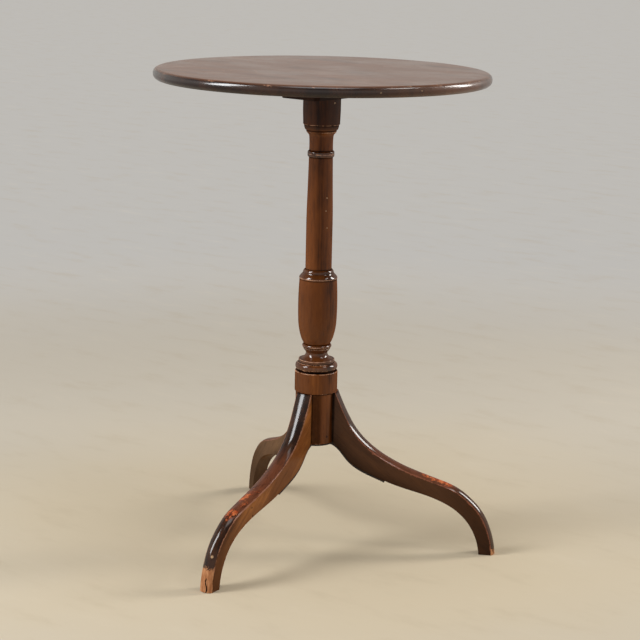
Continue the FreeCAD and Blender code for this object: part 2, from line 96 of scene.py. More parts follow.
class Grain(Enum):
    """The way that a piece's grain runs, as the turn that brings it onto the pattern's Z axis."""

    ALONG_X = (0.0, math.pi / 2, 0.0)
    ALONG_Y = (math.pi / 2, 0.0, 0.0)
    ALONG_Z = (0.0, 0.0, 0.0)


# ---- Surfaces


def rise(value: np.ndarray, start: float, width: float) -> np.ndarray:
    """Zero up to a start, then straight up to one over a width."""
    return np.clip((value - start) / width, 0.0, 1.0)


def fall(value: np.ndarray, end: float, width: float) -> np.ndarray:
    """Zero from an end on, and straight down to it from one over a width."""
    return np.clip((end - value) / width, 0.0, 1.0)


def bell(distance: np.ndarray, width: float) -> np.ndarray:
    """A bell curve: e to the power of minus the square of a distance over a width."""
    return np.exp(-((distance / width) ** 2))


def smooth_curve(points: np.ndarray, count: int, steps: np.ndarray | None = None) -> np.ndarray:
    """A natural cubic spline through points.

    Each span is a cubic. Its bend runs straight from knot to knot, is zero at both ends, and is solved
    so that the slopes on both sides of each knot agree.

    Args:
        points: The points to pass through, one per row.
        count: How many points to give back, evenly spread along the parameter.
        steps: The parameter's step over each span, or None for the length of its chord.

    Returns:
        The points of the curve, one per row.
    """
    if steps is None:
        steps = np.linalg.norm(np.diff(points, axis=0), axis=1)
    knots = np.concatenate([[0.0], np.cumsum(steps)])
    size = len(knots)
    system = np.eye(size)
    inner = np.arange(1, size - 1)
    system[inner, inner - 1] = steps[:-1]
    system[inner, inner] = 2 * (steps[:-1] + steps[1:])
    system[inner, inner + 1] = steps[1:]
    slopes = np.diff(points, axis=0) / steps[:, None]
    right = np.zeros_like(points)
    right[1:-1] = 6 * np.diff(slopes, axis=0)
    bend = np.linalg.solve(system, right)
    wanted = np.linspace(0.0, knots[-1], count)
    span = np.clip(np.searchsorted(knots, wanted, side="right") - 1, 0, size - 2)
    width = steps[span][:, None]
    after = (wanted - knots[span])[:, None]
    before = width - after
    return (
        bend[span] * before**3 / (6 * width)
        + bend[span + 1] * after**3 / (6 * width)
        + (points[span] / width - bend[span] * width / 6) * before
        + (points[span + 1] / width - bend[span + 1] * width / 6) * after
    )


def run_length(points: np.ndarray) -> np.ndarray:
    """The length of a run of points up to each of them."""
    return np.concatenate([[0.0], np.cumsum(np.linalg.norm(np.diff(points, axis=0), axis=1))])


def both_columns(wanted: np.ndarray, known: np.ndarray, points: np.ndarray) -> np.ndarray:
    """Two-part points read off at wanted places between known ones."""
    return np.stack([np.interp(wanted, known, points[:, part]) for part in (0, 1)], axis=1)


@dataclass
class Outline:
    """A turner's profile, drawn as (radius, height) runs from the foot up, and its edges painted lighter."""

    points: list[tuple[float, float]] = field(default_factory=list)
    edges: list[Triple] = field(default_factory=list)

    def to(self, radius: float, height: float) -> None:
        """Runs straight to a radius and height."""
        self.points.append((radius, height))

    def rubbed(self, radius: float, height: float, strength: float) -> None:
        """Notes an edge painted lighter: where polish is rubbed through, and on some members a painted highlight."""
        self.edges.append((radius, height, strength))

    def corner(self, radius: float, height: float) -> None:
        """Rounds a corner up to a radius and height, bulging away from the axis.

        The run is a quarter of an ellipse: both coordinates follow a sine and a cosine over a right angle.

        Args:
            radius: The radius at the run's end.
            height: The height at the run's end.
        """
        start_radius, start_height = self.points[-1]
        turn = np.linspace(0.0, math.pi / 2, 13)[1:]
        if radius > start_radius:
            out, up = np.sin(turn), 1 - np.cos(turn)
        else:
            out, up = 1 - np.cos(turn), np.sin(turn)
        radii = start_radius + (radius - start_radius) * out
        heights = start_height + (height - start_height) * up
        self.points += list(zip(radii.tolist(), heights.tolist()))

    def through(self, points: list[tuple[float, float]]) -> None:
        """Runs smoothly through points, the first of them joined by a straight run."""
        curve = smooth_curve(np.array(points), 8 * len(points))
        self.points += [tuple(point) for point in curve.tolist()]

    def worked(self, rounding: float, count: int) -> tuple[np.ndarray, np.ndarray]:
        """Rounds every crisp edge a little and spaces the points by how much the profile bends.

        The profile is sampled finely by its length, each coordinate is averaged with a bell curve, and
        the final points lie at equal steps of length plus a share of the bend.

        Args:
            rounding: The width of the bell curve, which is five fine samples.
            count: How many points to give back.

        Returns:
            The (radius, height) points, and the bend at each, above zero on a raised edge.
        """
        samples_wide, reach = 5, 15
        bend_share, most_bend = 0.0035, 2500.0
        raw = np.array(self.points)
        raw = raw[np.concatenate([[True], np.linalg.norm(np.diff(raw, axis=0), axis=1) > 1e-7])]
        length = run_length(raw)
        fine = np.linspace(0.0, length[-1], int(length[-1] / (rounding / samples_wide)))
        line = both_columns(fine, length, raw)
        weights = np.exp(-0.5 * (np.arange(-reach, reach + 1) / samples_wide) ** 2)
        weights /= weights.sum()
        padded = np.concatenate([2 * line[0] - line[reach:0:-1], line, 2 * line[-1] - line[-2 : -reach - 2 : -1]])
        rounded = np.stack([np.convolve(padded[:, part], weights, mode="valid") for part in (0, 1)], axis=1)
        tangent = np.gradient(rounded, axis=0)
        tangent /= np.linalg.norm(tangent, axis=1)[:, None] + 1e-12
        turning = np.gradient(tangent, axis=0) / (fine[1] - fine[0])
        bend = -(turning[:, 0] * tangent[:, 1] - turning[:, 1] * tangent[:, 0])
        weight = np.cumsum(1.0 + bend_share * np.minimum(np.abs(bend), most_bend))
        wanted = np.linspace(weight[0], weight[-1], count)
        return both_columns(wanted, weight, rounded), np.interp(wanted, weight, bend)


def new_object(name: str, data: bpy.types.ID) -> bpy.types.Object:
    """Makes an object and links it to the scene.

    Args:
        name: The object's name.
        data: Its mesh, lamp or camera.

    Returns:
        The new object.
    """
    item = bpy.data.objects.new(name, data)
    bpy.context.scene.collection.objects.link(item)
    return item


@contextmanager
def edited(mesh: bpy.types.Mesh) -> Iterator[bmesh.types.BMesh]:
    """Opens a mesh for editing and writes it back afterwards.

    Args:
        mesh: The mesh to change.

    Yields:
        The mesh's editable form.
    """
    edit = bmesh.new()
    edit.from_mesh(mesh)
    yield edit
    edit.to_mesh(mesh)
    edit.free()


@dataclass
class SurfaceGrid:
    """A closed skin on a grid: rows run along the piece and columns run round it."""

    points: np.ndarray
    marks: dict[Mark, np.ndarray] = field(default_factory=dict)

    def to_object(self, name: str) -> bpy.types.Object:
        """Makes the mesh, with each end closed by a fan to the middle of its last row.

        Args:
            name: The piece's name.

        Returns:
            The new object, smooth shaded and linked to the scene.
        """
        rows, columns = self.points.shape[:2]
        index = np.arange(rows * columns).reshape(rows, columns)
        ahead = np.roll(index, -1, axis=1)
        quads = np.stack([index[:-1], ahead[:-1], ahead[1:], index[1:]], axis=-1).reshape(-1, 4)
        first, last = rows * columns, rows * columns + 1
        low = np.stack([ahead[0], index[0], np.full(columns, first)], axis=-1)
        high = np.stack([index[-1], ahead[-1], np.full(columns, last)], axis=-1)
        ends = np.stack([self.points[0].mean(axis=0), self.points[-1].mean(axis=0)])
        vertices = np.concatenate([self.points.reshape(-1, 3), ends])
        mesh = bpy.data.meshes.new(name)
        mesh.from_pydata(vertices.tolist(), [], quads.tolist() + low.tolist() + high.tolist())
        for mark, values in self.marks.items():
            layer = mesh.attributes.new(mark.value, "FLOAT", "POINT")
            capped = np.concatenate([values.reshape(-1), [values[0].mean(), values[-1].mean()]])
            layer.data.foreach_set("value", capped.astype(np.float32))
        mesh.validate()
        mesh.shade_smooth()
        return new_object(name, mesh)


def around(segments: int) -> np.ndarray:
    """The angles of a turned piece's columns."""
    return np.linspace(0.0, FULL_TURN, segments, endpoint=False)


def turned(profile: np.ndarray, segments: int, axis_y: float) -> np.ndarray:
    """A profile spun about an upright axis.

    The point at angle a and profile step s is (r(s) cos a, axis + r(s) sin a, z(s)).

    Args:
        profile: The (radius, height) points.
        segments: How many columns go round.
        axis_y: Where the axis stands in Y.

    Returns:
        The grid of points.
    """
    angle = around(segments)
    radius, height = profile[:, :1], profile[:, 1:]
    level = height * np.ones_like(angle)
    return np.stack([radius * np.cos(angle), axis_y + radius * np.sin(angle), level], axis=-1)


def crease(piece: bpy.types.Object, degrees: float = 35.0) -> None:
    """Keeps the edges that turn more than an angle sharp in a smooth-shaded piece.

    Args:
        piece: The piece.
        degrees: The angle.
    """
    limit = math.radians(degrees)
    with edited(piece.data) as edit:
        for edge in edit.edges:
            edge.smooth = len(edge.link_faces) == 2 and edge.calc_face_angle(0.0) < limit
        for face in edit.faces:
            face.smooth = True


def softened_copy(node: str, name: str, width: float) -> bpy.types.Object:
    """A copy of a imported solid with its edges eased, as hand tools and years leave them.

    Args:
        node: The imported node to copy.
        name: The new piece's name.
        width: How far each edge is eased.

    Returns:
        The new object, which replaces the node.
    """
    same_point, flat_degrees, edge_degrees = 1e-6, 1.0, 40.0
    mesh = bpy.data.objects[node].data.copy()
    mesh.name = name
    with edited(mesh) as edit:
        bmesh.ops.remove_doubles(edit, verts=edit.verts, dist=same_point)
        bmesh.ops.dissolve_limit(edit, angle_limit=math.radians(flat_degrees), verts=edit.verts, edges=edit.edges)
    mesh.materials.clear()
    piece = new_object(name, mesh)
    eased = piece.modifiers.new("eased edges", "BEVEL")
    eased.width = width
    eased.segments = 2
    eased.limit_method = "ANGLE"
    eased.angle_limit = math.radians(edge_degrees)
    eased.use_clamp_overlap = True
    crease(piece)
    return piece


# ---- Shader building


@dataclass(frozen=True)
class Noise:
    """A noise pattern: its scale, detail and roughness, and how it is squeezed along each axis."""

    scale: float
    detail: float = 4.0
    rough: float = 0.55
    squeeze: Triple | None = None


GRAIN_WAVER = Noise(9.0, 2.0, 0.5, (1.0, 1.0, 0.35))
GRAIN_BANDS = Noise(1.0, 3.0, 0.5, (70.0, 70.0, 2.2))
GRAIN_STREAKS = Noise(1.0, 5.0, 0.65, (330.0, 330.0, 7.0))
GRAIN_PORES = Noise(1.0, 2.0, 0.5, (1500.0, 1500.0, 55.0))
GRAIN_PATCHES = Noise(1.0, 3.0, 0.6, (28.0, 28.0, 11.0))
COARSE_RUB = Noise(55.0, 5.0, 0.7)
FINE_RUB = Noise(380.0, 3.0, 0.6)
HAIRLINE = Noise(1.0, 2.0, 0.5, (800.0, 16.0, 16.0))
HAIRLINE_PATCH = Noise(13.0, 3.0, 0.6)
OLD_VARNISH = Noise(26.0, 4.0, 0.6)
TREAD = Noise(150.0, 4.0, 0.65, (1.0, 1.0, 0.25))
# Clouds that break up the painted shade.
SHADE_TONE_CLOUD = Noise(60.0)
SCUFF_CLOUD = Noise(160.0)
BARE_FIBRES = Noise(260.0, squeeze=(1.0, 1.0, 0.2))
SPLIT_EDGE = Noise(420.0, 3.0, 0.6)
POLISH_RIPPLE = Noise(22.0, 2.0, 0.4)
CHIP_EDGE = Noise(700.0, 2.0, 0.6)
OILED_CLOUD = Noise(120.0)
TARNISH_CLOUD = Noise(90.0, 5.0, 0.6)
RUST_SPECKLE = Noise(700.0, 3.0, 0.6)
FLOOR_CLOUD = Noise(1.6, 5.0, 0.55)
TROWEL_MARKS = Noise(7.0, 7.0, 0.62, (1.0, 2.4, 1.0))

# The colour of the painted shade.
SHADE_TONE: Shade = (20, 12, 9)
SCUFF_RED: Shade = (154, 64, 34)
SCUFF_PALE: Shade = (204, 114, 68)
BARE_SHADE: Shade = (164, 106, 70)
SPLIT_SHADE: Shade = (34, 18, 13)
PIT_SHADE: Shade = (24, 13, 9)
CHIP_SHADE: Shade = (196, 160, 124)


def linear(shade: Shade) -> tuple[float, float, float, float]:
    """A screen colour as the shader's linear colour: a straight line for the darkest parts, then a power.

    Args:
        shade: The colour's three parts of 255.

    Returns:
        Its linear red, green and blue, and a full alpha.
    """
    parts = np.array(shade) / 255.0
    low = parts / 12.92
    high = ((parts + 0.055) / 1.055) ** 2.4
    return (*np.where(parts <= 0.04045, low, high).tolist(), 1.0)


@dataclass
class NodeSheet:
    """A short-hand for wiring one node tree."""

    tree: bpy.types.NodeTree

    def add(self, kind: str, **settings: object) -> bpy.types.Node:
        """Adds a node and sets its own properties.

        Args:
            kind: The node's type.
            **settings: Its properties.

        Returns:
            The new node.
        """
        node = self.tree.nodes.new(kind)
        for key, value in settings.items():
            setattr(node, key, value)
        return node

    def link(self, source: Socket, target: Socket) -> None:
        """Joins two sockets."""
        self.tree.links.new(source, target)

    def feed(self, target: Socket, value: object) -> None:
        """Sets a socket to a constant, or links it where the value is another socket.

        Args:
            target: The socket to feed.
            value: A constant or a socket.
        """
        if isinstance(value, Socket):
            self.link(value, target)
        else:
            target.default_value = value

    def maths(self, operation: str, *values: object, clamp: bool = False) -> Socket:
        """A Math node on constants or sockets.

        Args:
            operation: The node's operation.
            *values: Its inputs, in order.
            clamp: Whether the result is held between zero and one.

        Returns:
            The result.
        """
        node = self.add("ShaderNodeMath", operation=operation, use_clamp=clamp)
        for socket, value in zip(node.inputs, values):
            self.feed(socket, value)
        return node.outputs[0]

    def times(self, first: object, second: object) -> Socket:
        """One value times another."""
        return self.maths("MULTIPLY", first, second)

    def times_plus(self, value: object, factor: object, more: object) -> Socket:
        """A value times a factor, plus another value."""
        return self.maths("MULTIPLY_ADD", value, factor, more)

    def most(self, first: object, second: object) -> Socket:
        """The larger of two values."""
        return self.maths("MAXIMUM", first, second)

    def rest_of(self, value: object) -> Socket:
        """What a value leaves of one, held between zero and one."""
        return self.maths("SUBTRACT", 1.0, value, clamp=True)

    def scaled(self, vector: object, factors: Triple) -> Socket:
        """A vector multiplied part by part.

        Args:
            vector: The vector.
            factors: What each part is multiplied by.

        Returns:
            The scaled vector.
        """
        node = self.add("ShaderNodeVectorMath", operation="MULTIPLY")
        self.feed(node.inputs[0], vector)
        node.inputs[1].default_value = factors
        return node.outputs[0]

    def noise(self, vector: object, pattern: Noise, output: str = "Fac") -> Socket:
        """A noise texture.

        Args:
            vector: The coordinates that it reads.
            pattern: Its scale, detail, roughness and squeeze.
            output: Which of its outputs is wanted.

        Returns:
            That output.
        """
        node = self.add("ShaderNodeTexNoise")
        self.feed(node.inputs["Vector"], self.scaled(vector, pattern.squeeze) if pattern.squeeze else vector)
        for label, value in (("Scale", pattern.scale), ("Detail", pattern.detail), ("Roughness", pattern.rough)):
            node.inputs[label].default_value = value
        return node.outputs[output]

    def spread(self, value: object, low: float, high: float, to_low: float = 0.0, to_high: float = 1.0) -> Socket:
        """A value moved smoothly from one range to another and held at its ends.

        Args:
            value: The value.
            low: Where its range starts.
            high: Where its range ends.
            to_low: The result at the start.
            to_high: The result at the end.

        Returns:
            The moved value.
        """
        node = self.add("ShaderNodeMapRange", interpolation_type="SMOOTHSTEP")
        for socket, number in zip(node.inputs, (value, low, high, to_low, to_high)):
            self.feed(socket, number)
        return node.outputs[0]

    def mix(self, factor: object, first: object, second: object) -> Socket:
        """A colour mix.

        Args:
            factor: How much of the second colour is taken.
            first: The first colour.
            second: The second colour.

        Returns:
            The mixed colour.
        """
        node = self.add("ShaderNodeMix", data_type="RGBA", clamp_result=True)
        for number, value in ((0, factor), (6, first), (7, second)):
            self.feed(node.inputs[number], value)
        return node.outputs[2]

    def placed(self, group: bpy.types.NodeTree, **values: object) -> bpy.types.Node:
        """Places a node group with its own values.

        Args:
            group: The group.
            **values: Its inputs by name, constants or sockets.

        Returns:
            The group's node.
        """
        node = self.add("ShaderNodeGroup", node_tree=group)
        for label, value in values.items():
            self.feed(node.inputs[label], value)
        return node


@dataclass
class GroupSheet(NodeSheet):
    """The sheet of a new shader node group, with what it is given."""

    given: bpy.types.NodeOutputs

    @staticmethod
    def start(name: str, **inputs: str) -> "GroupSheet":
        """Starts a group with named inputs.

        Args:
            name: The group's name.
            **inputs: Each input's name and kind.

        Returns:
            The group's sheet.
        """
        tree = bpy.data.node_groups.new(name, "ShaderNodeTree")
        for label, kind in inputs.items():
            tree.interface.new_socket(name=label, in_out="INPUT", socket_type=f"NodeSocket{kind}")
        return GroupSheet(tree, NodeSheet(tree).add("NodeGroupInput").outputs)

    def finish(self, **outputs: Socket) -> bpy.types.NodeTree:
        """Makes a named output for each result, Color for a colour and a value for any other.

        Args:
            **outputs: Each output's name and what feeds it.

        Returns:
            The finished group.
        """
        for label in outputs:
            kind = "NodeSocketColor" if label == "Color" else "NodeSocketFloat"
            self.tree.interface.new_socket(name=label, in_out="OUTPUT", socket_type=kind)
        out = self.add("NodeGroupOutput")
        for label, value in outputs.items():
            self.link(value, out.inputs[label])
        return self.tree


@dataclass
class MaterialSheet(NodeSheet):
    """The sheet of a new material, with its shader and the object's own coordinates."""

    material: bpy.types.Material
    shader: bpy.types.Node
    place: Socket

    @staticmethod
    def start(name: str) -> "MaterialSheet":
        """Starts a material on the Principled shader.

        Args:
            name: The material's name.

        Returns:
            The material's sheet.
        """
        material = bpy.data.materials.new(name)
        material.use_nodes = True
        tree = material.node_tree
        place = NodeSheet(tree).add("ShaderNodeTexCoord").outputs["Object"]
        return MaterialSheet(tree, material, tree.nodes["Principled BSDF"], place)

    def turned(self, turn: Triple) -> Socket:
        """The object's coordinates, turned.

        Args:
            turn: The angles about X, Y and Z.

        Returns:
            The turned coordinates.
        """
        node = self.add("ShaderNodeMapping", vector_type="POINT")
        node.inputs["Rotation"].default_value = turn
        self.link(self.place, node.inputs["Vector"])
        return node.outputs[0]

    def mark(self, mark: Mark) -> Socket:
        """Reads a painted value, which is zero on a piece that has none."""
        return self.add("ShaderNodeAttribute", attribute_name=mark.value).outputs["Fac"]

    def shade(self, values: dict[str, object]) -> None:
        """Feeds the shader's own sockets, by their names."""
        for label, value in values.items():
            self.feed(self.shader.inputs[label], value)

    def relief(self, height: Socket, strength: float, depth: float) -> None:
        """Raises the surface by a height.

        Args:
            height: The height.
            strength: How much of it is felt.
            depth: How deep one unit of it is.
        """
        bump = self.add("ShaderNodeBump")
        for label, value in (("Strength", strength), ("Distance", depth), ("Height", height)):
            self.feed(bump.inputs[label], value)
        self.shade({"Normal": bump.outputs[0]})


@dataclass(frozen=True)
class SharedEffects:
    """The node groups that several finishes use, each built once."""

    grain: bpy.types.NodeTree
    wear: bpy.types.NodeTree
    bruises: bpy.types.NodeTree
    hairlines: bpy.types.NodeTree

    @staticmethod
    def build() -> "SharedEffects":
        """Builds the four groups.

        Returns:
            The groups.
        """
        makers = (SharedEffects.make_grain, SharedEffects.make_wear, SharedEffects.make_bruises,
                  SharedEffects.make_hairlines)
        return SharedEffects(*(make() for make in makers))

    @staticmethod
    def make_grain() -> bpy.types.NodeTree:
        """Mahogany along Z: broad tone bands, fine streaks and short dark pores, all bent by a slow waver.

        Returns:
            The group.
        """
        sheet = GroupSheet.start("mahogany_grain", Vector="Vector", Dark="Color", Middle="Color", Light="Color",
                                 Contrast="Float", Patches="Float")
        given = sheet.given
        bent = sheet.add("ShaderNodeVectorMath", operation="MULTIPLY_ADD")
        sheet.link(sheet.noise(given["Vector"], GRAIN_WAVER, "Color"), bent.inputs[0])
        bent.inputs[1].default_value = (0.018, 0.018, 0.0)
        sheet.link(given["Vector"], bent.inputs[2])
        way = bent.outputs[0]
        streaks = sheet.noise(way, GRAIN_STREAKS)
        open_pores = sheet.spread(sheet.noise(way, GRAIN_PORES), 0.60, 0.70)
        patches = sheet.noise(given["Vector"], GRAIN_PATCHES)
        tone = sheet.times_plus(streaks, 0.55, sheet.times(sheet.noise(way, GRAIN_BANDS), 0.85))
        tone = sheet.maths("SUBTRACT", tone, 0.7)
        tone = sheet.times_plus(sheet.maths("SUBTRACT", patches, 0.5), given["Patches"], tone)
        tone = sheet.times_plus(tone, given["Contrast"], 0.5)
        darker = sheet.mix(sheet.spread(tone, 0.05, 0.5), given["Dark"], given["Middle"])
        colour = sheet.mix(sheet.spread(tone, 0.5, 0.98), darker, given["Light"])
        return sheet.finish(
            Color=sheet.mix(sheet.times(open_pores, 0.5), colour, given["Dark"]),
            Height=sheet.times_plus(streaks, 0.25, sheet.times(open_pores, -0.7)),
        )

    @staticmethod
    def make_wear() -> bpy.types.NodeTree:
        """Where hands, feet and cloths rub, and where arrises take a painted highlight: a mark broken up by two sizes
        of noise.

        Returns:
            The group.
        """
        sheet = GroupSheet.start("rubbed_wear", Vector="Vector", Mark="Float", Amount="Float")
        vector, mark, amount = (sheet.given[label] for label in ("Vector", "Mark", "Amount"))
        both = sheet.times_plus(sheet.noise(vector, FINE_RUB), 1.1, sheet.times(sheet.noise(vector, COARSE_RUB), 1.7))
        level = sheet.maths("SUBTRACT", sheet.maths("ADD", sheet.times(mark, amount), both), 1.75)
        return sheet.finish(Mask=sheet.times(sheet.spread(level, 0.0, 0.2), sheet.spread(mark, 0.05, 0.3)))

    @staticmethod
    def make_bruises() -> bpy.types.NodeTree:
        """Scattered small pits and nicks: the near part of some cells of a cell pattern.

        Returns:
            The group.
        """
        sheet = GroupSheet.start("bruises", Vector="Vector", Scale="Float", Amount="Float")
        cells = sheet.add("ShaderNodeTexVoronoi", feature="F1")
        for label in ("Vector", "Scale"):
            sheet.link(sheet.given[label], cells.inputs[label])
        pick = sheet.add("ShaderNodeSeparateColor")
        sheet.link(cells.outputs["Color"], pick.inputs[0])
        near = sheet.spread(cells.outputs["Distance"], 0.10, 0.17, 1.0, 0.0)
        pits = sheet.times(near, sheet.maths("LESS_THAN", pick.outputs[0], sheet.given["Amount"]))
        return sheet.finish(Pits=pits, Nicks=sheet.times(pits, sheet.maths("GREATER_THAN", pick.outputs[1], 0.8)))

    @staticmethod
    def make_hairlines() -> bpy.types.NodeTree:
        """Fine scratches of years of dusting: noise drawn out along three level ways, kept in patches.

        Returns:
            The group.
        """
        sheet = GroupSheet.start("hairlines", Vector="Vector", Amount="Float")
        found = 0.0
        for turn in (0.35, 1.25, 2.3):
            way = sheet.add("ShaderNodeMapping", vector_type="POINT")
            way.inputs["Rotation"].default_value = (0.0, 0.0, turn)
            sheet.link(sheet.given["Vector"], way.inputs["Vector"])
            found = sheet.most(found, sheet.spread(sheet.noise(way.outputs[0], HAIRLINE), 0.68, 0.74))
        patch = sheet.spread(sheet.noise(sheet.given["Vector"], HAIRLINE_PATCH), 0.48, 0.62)
        return sheet.finish(Mask=sheet.times(sheet.times(found, patch), sheet.given["Amount"]))


# ---- Finishes


@dataclass(frozen=True)
class WearMasks:
    """Where a polished surface has painted shade, lighter arrises, scuffs, bare wood, bruises and scratches."""

    # Painted shade in hollows, corners and low sides.
    painted_shade: Socket
    # Lighter arrises: partly polish rubbed through, partly painted highlights.
    rubbed: Socket
    scuffed: Socket
    bared: Socket
    pits: Socket
    nicks: Socket
    lines: Socket


@dataclass(frozen=True)
class PolishedMahogany:
    """Old French-polished mahogany: grain under a coat rubbed through on the arrises, which also carry painted
    highlights.

    Colours are parts of 255. Each chip is its x, y and z and its size, in millimetres.
    """

    name: str
    grain: Grain | Triple
    dark: Shade = (44, 20, 8)
    middle: Shade = (96, 50, 15)
    light: Shade = (140, 80, 30)
    # The arrises' lighter colour, partly rubbed polish and partly painted highlight; the hairlines take it too.
    rubbed: Shade = (198, 148, 116)
    worn: Shade = (112, 65, 45)
    bare: Shade = (206, 150, 108)
    # The dark colour of old varnish, which on the column's head is painted shade under the top.
    aged_varnish_and_shade: Shade = (24, 11, 8)
    contrast: float = 1.5
    patches: float = 0.45
    roughness: tuple[float, float] = (0.30, 0.48)
    coat: float = 1.0
    coat_roughness: float = 0.15
    coat_ior: float = 1.40
    specular: float = 0.0
    middle_gloss: float = 0.6
    edge_gloss: float = 0.12
    crown_gloss: float = 1.0
    crown_polish: float = 1.0
    chips: tuple[tuple[float, float, float, float], ...] = ()
    # How much of the lighter arris colour shows, partly wear and partly painted highlight.
    arris_wear_and_highlight: float = 0.55
    scuff_wear: float = 0.45
    toe_wear: float = 1.1
    scuff_squeeze: Triple = (1.35, 0.85, 0.7)
    bruise_scale: float = 70.0
    bruise_amount: float = 0.05
    grain_height: float = 0.00012
    hairlines: float = 0.0
    # How dark the varnish colour is laid on, the painted shade on the column's head included.
    varnish: float = 0.85
    smears: Triple = (3.0, 3.0, 0.8)

    def build(self, effects: SharedEffects) -> bpy.types.Material:
        """Wires the material: the wood and its wear, the polish, and the relief.

        Args:
            effects: The shared node groups.

        Returns:
            The new material.
        """
        sheet = MaterialSheet.start(self.name)
        along = sheet.turned(self.grain.value if isinstance(self.grain, Grain) else self.grain)
        marks = {mark: sheet.mark(mark) for mark in Mark}
        grain = sheet.placed(effects.grain, Vector=along, Dark=linear(self.dark), Middle=linear(self.middle),
                             Light=linear(self.light), Contrast=self.contrast, Patches=self.patches)
        wear = self.wear(sheet, effects, marks)
        sheet.shade({
            "Base Color": self.colour(sheet, along, grain.outputs["Color"], marks, wear),
            **self.polish(sheet, along, marks, wear),
            "Coat Roughness": self.coat_roughness,
            "Coat IOR": self.coat_ior,
            "Specular IOR Level": self.specular,
        })
        height = sheet.times_plus(sheet.noise(sheet.place, POLISH_RIPPLE), 0.6, grain.outputs["Height"])
        sheet.relief(sheet.times_plus(wear.pits, -2.0, height), 0.5, self.grain_height)
        return sheet.material

    def wear(self, sheet: MaterialSheet, effects: SharedEffects, marks: dict[Mark, Socket]) -> WearMasks:
        """Breaks the painted marks up into wear, painted highlights and painted shade, and scatters the bruises and
        hairlines.

        Args:
            sheet: The material's sheet.
            effects: The shared node groups.
            marks: The painted values.

        Returns:
            The masks.
        """
        place = sheet.place
        scuff_way = sheet.scaled(place, self.scuff_squeeze)
        rubbed, scuffed, bared = (
            sheet.placed(effects.wear, Vector=way, Mark=marks[mark], Amount=amount).outputs["Mask"]
            for way, mark, amount in ((place, Mark.ARRIS, self.arris_wear_and_highlight), (scuff_way, Mark.SCUFF, self.scuff_wear),
                                      (place, Mark.BARE, self.toe_wear))
        )
        bruises = sheet.placed(effects.bruises, Vector=place, Scale=self.bruise_scale, Amount=self.bruise_amount)
        lines = sheet.placed(effects.hairlines, Vector=place, Amount=self.hairlines).outputs["Mask"]
        shielded = sheet.most(marks[Mark.CROWN], marks[Mark.UNDERSIDE])
        # Painted shade: the shade mark broken up by clouds.
        shade_breakup = sheet.spread(sheet.noise(place, SHADE_TONE_CLOUD), 0.2, 0.6, 0.75, 1.0)
        return WearMasks(sheet.times(marks[Mark.RECESS], shade_breakup), rubbed, scuffed, bared, bruises.outputs["Pits"],
                         bruises.outputs["Nicks"], sheet.times(lines, sheet.rest_of(shielded)))

    def colour(self, sheet: MaterialSheet, along: Socket, wood: Socket, marks: dict[Mark, Socket],
               wear: WearMasks) -> Socket:
        """Lays each layer of colour over the wood by its mask, the oldest first.

        Args:
            sheet: The material's sheet.
            along: The coordinates turned along the grain.
            wood: The grain's own colour.
            marks: The painted values.
            wear: The masks of wear.

        Returns:
            The surface's colour.
        """
        place = sheet.place
        clouded = sheet.spread(sheet.noise(place, OLD_VARNISH), 0.35, 0.62, 0.72 * self.varnish, self.varnish)
        tread = sheet.spread(sheet.noise(along, TREAD), 0.3, 0.6, 0.35, 0.9)
        scuff_tone = sheet.spread(sheet.noise(place, SCUFF_CLOUD), 0.42, 0.62)
        fibre_tone = sheet.spread(sheet.noise(place, BARE_FIBRES), 0.3, 0.7)
        fibres = sheet.mix(fibre_tone, linear(self.bare), linear(BARE_SHADE))
        split = sheet.times_plus(sheet.noise(place, SPLIT_EDGE), 0.8, marks[Mark.SPLIT])
        layers = (
            # Dark old varnish, and on the column's head painted shade under the top.
            (sheet.times(clouded, marks[Mark.CROWN]), linear(self.aged_varnish_and_shade)),
            (sheet.times(marks[Mark.TRODDEN], tread), linear(self.worn)),
            # Painted shade in hollows, corners and low sides.
            (wear.painted_shade, linear(SHADE_TONE)),
            # Lighter arrises: partly rubbed polish, partly painted highlights.
            (sheet.times(wear.rubbed, 0.75), linear(self.rubbed)),
            (wear.scuffed, sheet.mix(scuff_tone, linear(SCUFF_RED), linear(SCUFF_PALE))),
            (wear.bared, sheet.mix(sheet.spread(split, 0.92, 1.05), fibres, linear(SPLIT_SHADE))),
            (sheet.times(wear.pits, 0.7), linear(PIT_SHADE)),
            (wear.lines, linear(self.rubbed)),
            (sheet.most(wear.nicks, self.chipped(sheet)), linear(CHIP_SHADE)),
        )
        colour = wood
        for mask, shade in layers:
            colour = sheet.mix(mask, colour, shade)
        return colour

    def polish(self, sheet: MaterialSheet, along: Socket, marks: dict[Mark, Socket],
               wear: WearMasks) -> dict[str, Socket]:
        """Finds how rough the surface is and how much gloss its coat keeps.

        Args:
            sheet: The material's sheet.
            along: The coordinates turned along the grain.
            marks: The painted values.
            wear: The masks of wear.

        Returns:
            What feeds the shader's roughness and coat.
        """
        crown = marks[Mark.CROWN]
        dull = sheet.most(wear.bared, marks[Mark.UNDERSIDE])
        for mask, share in ((wear.scuffed, 0.6), (wear.lines, 0.5)):
            dull = sheet.most(dull, sheet.times(mask, share))
        wiped = sheet.noise(along, Noise(8.0, 5.0, 0.65, self.smears))
        smears = sheet.times(sheet.spread(wiped, 0.3, 0.7, *self.roughness),
                             sheet.spread(crown, 0.0, 1.0, 1.0, self.crown_polish))
        facing = sheet.add("ShaderNodeLayerWeight").outputs["Facing"]
        gloss = sheet.times(sheet.spread(facing, 0.0, 0.14, self.middle_gloss, 1.0),
                            sheet.spread(facing, 0.4, 0.85, self.coat, self.coat * self.edge_gloss))
        gloss = sheet.times(gloss, sheet.spread(crown, 0.0, 1.0, 1.0, self.crown_gloss))
        pooled = sheet.times(marks[Mark.POOLED], sheet.spread(facing, 0.45, 0.9, 1.0, 0.3))
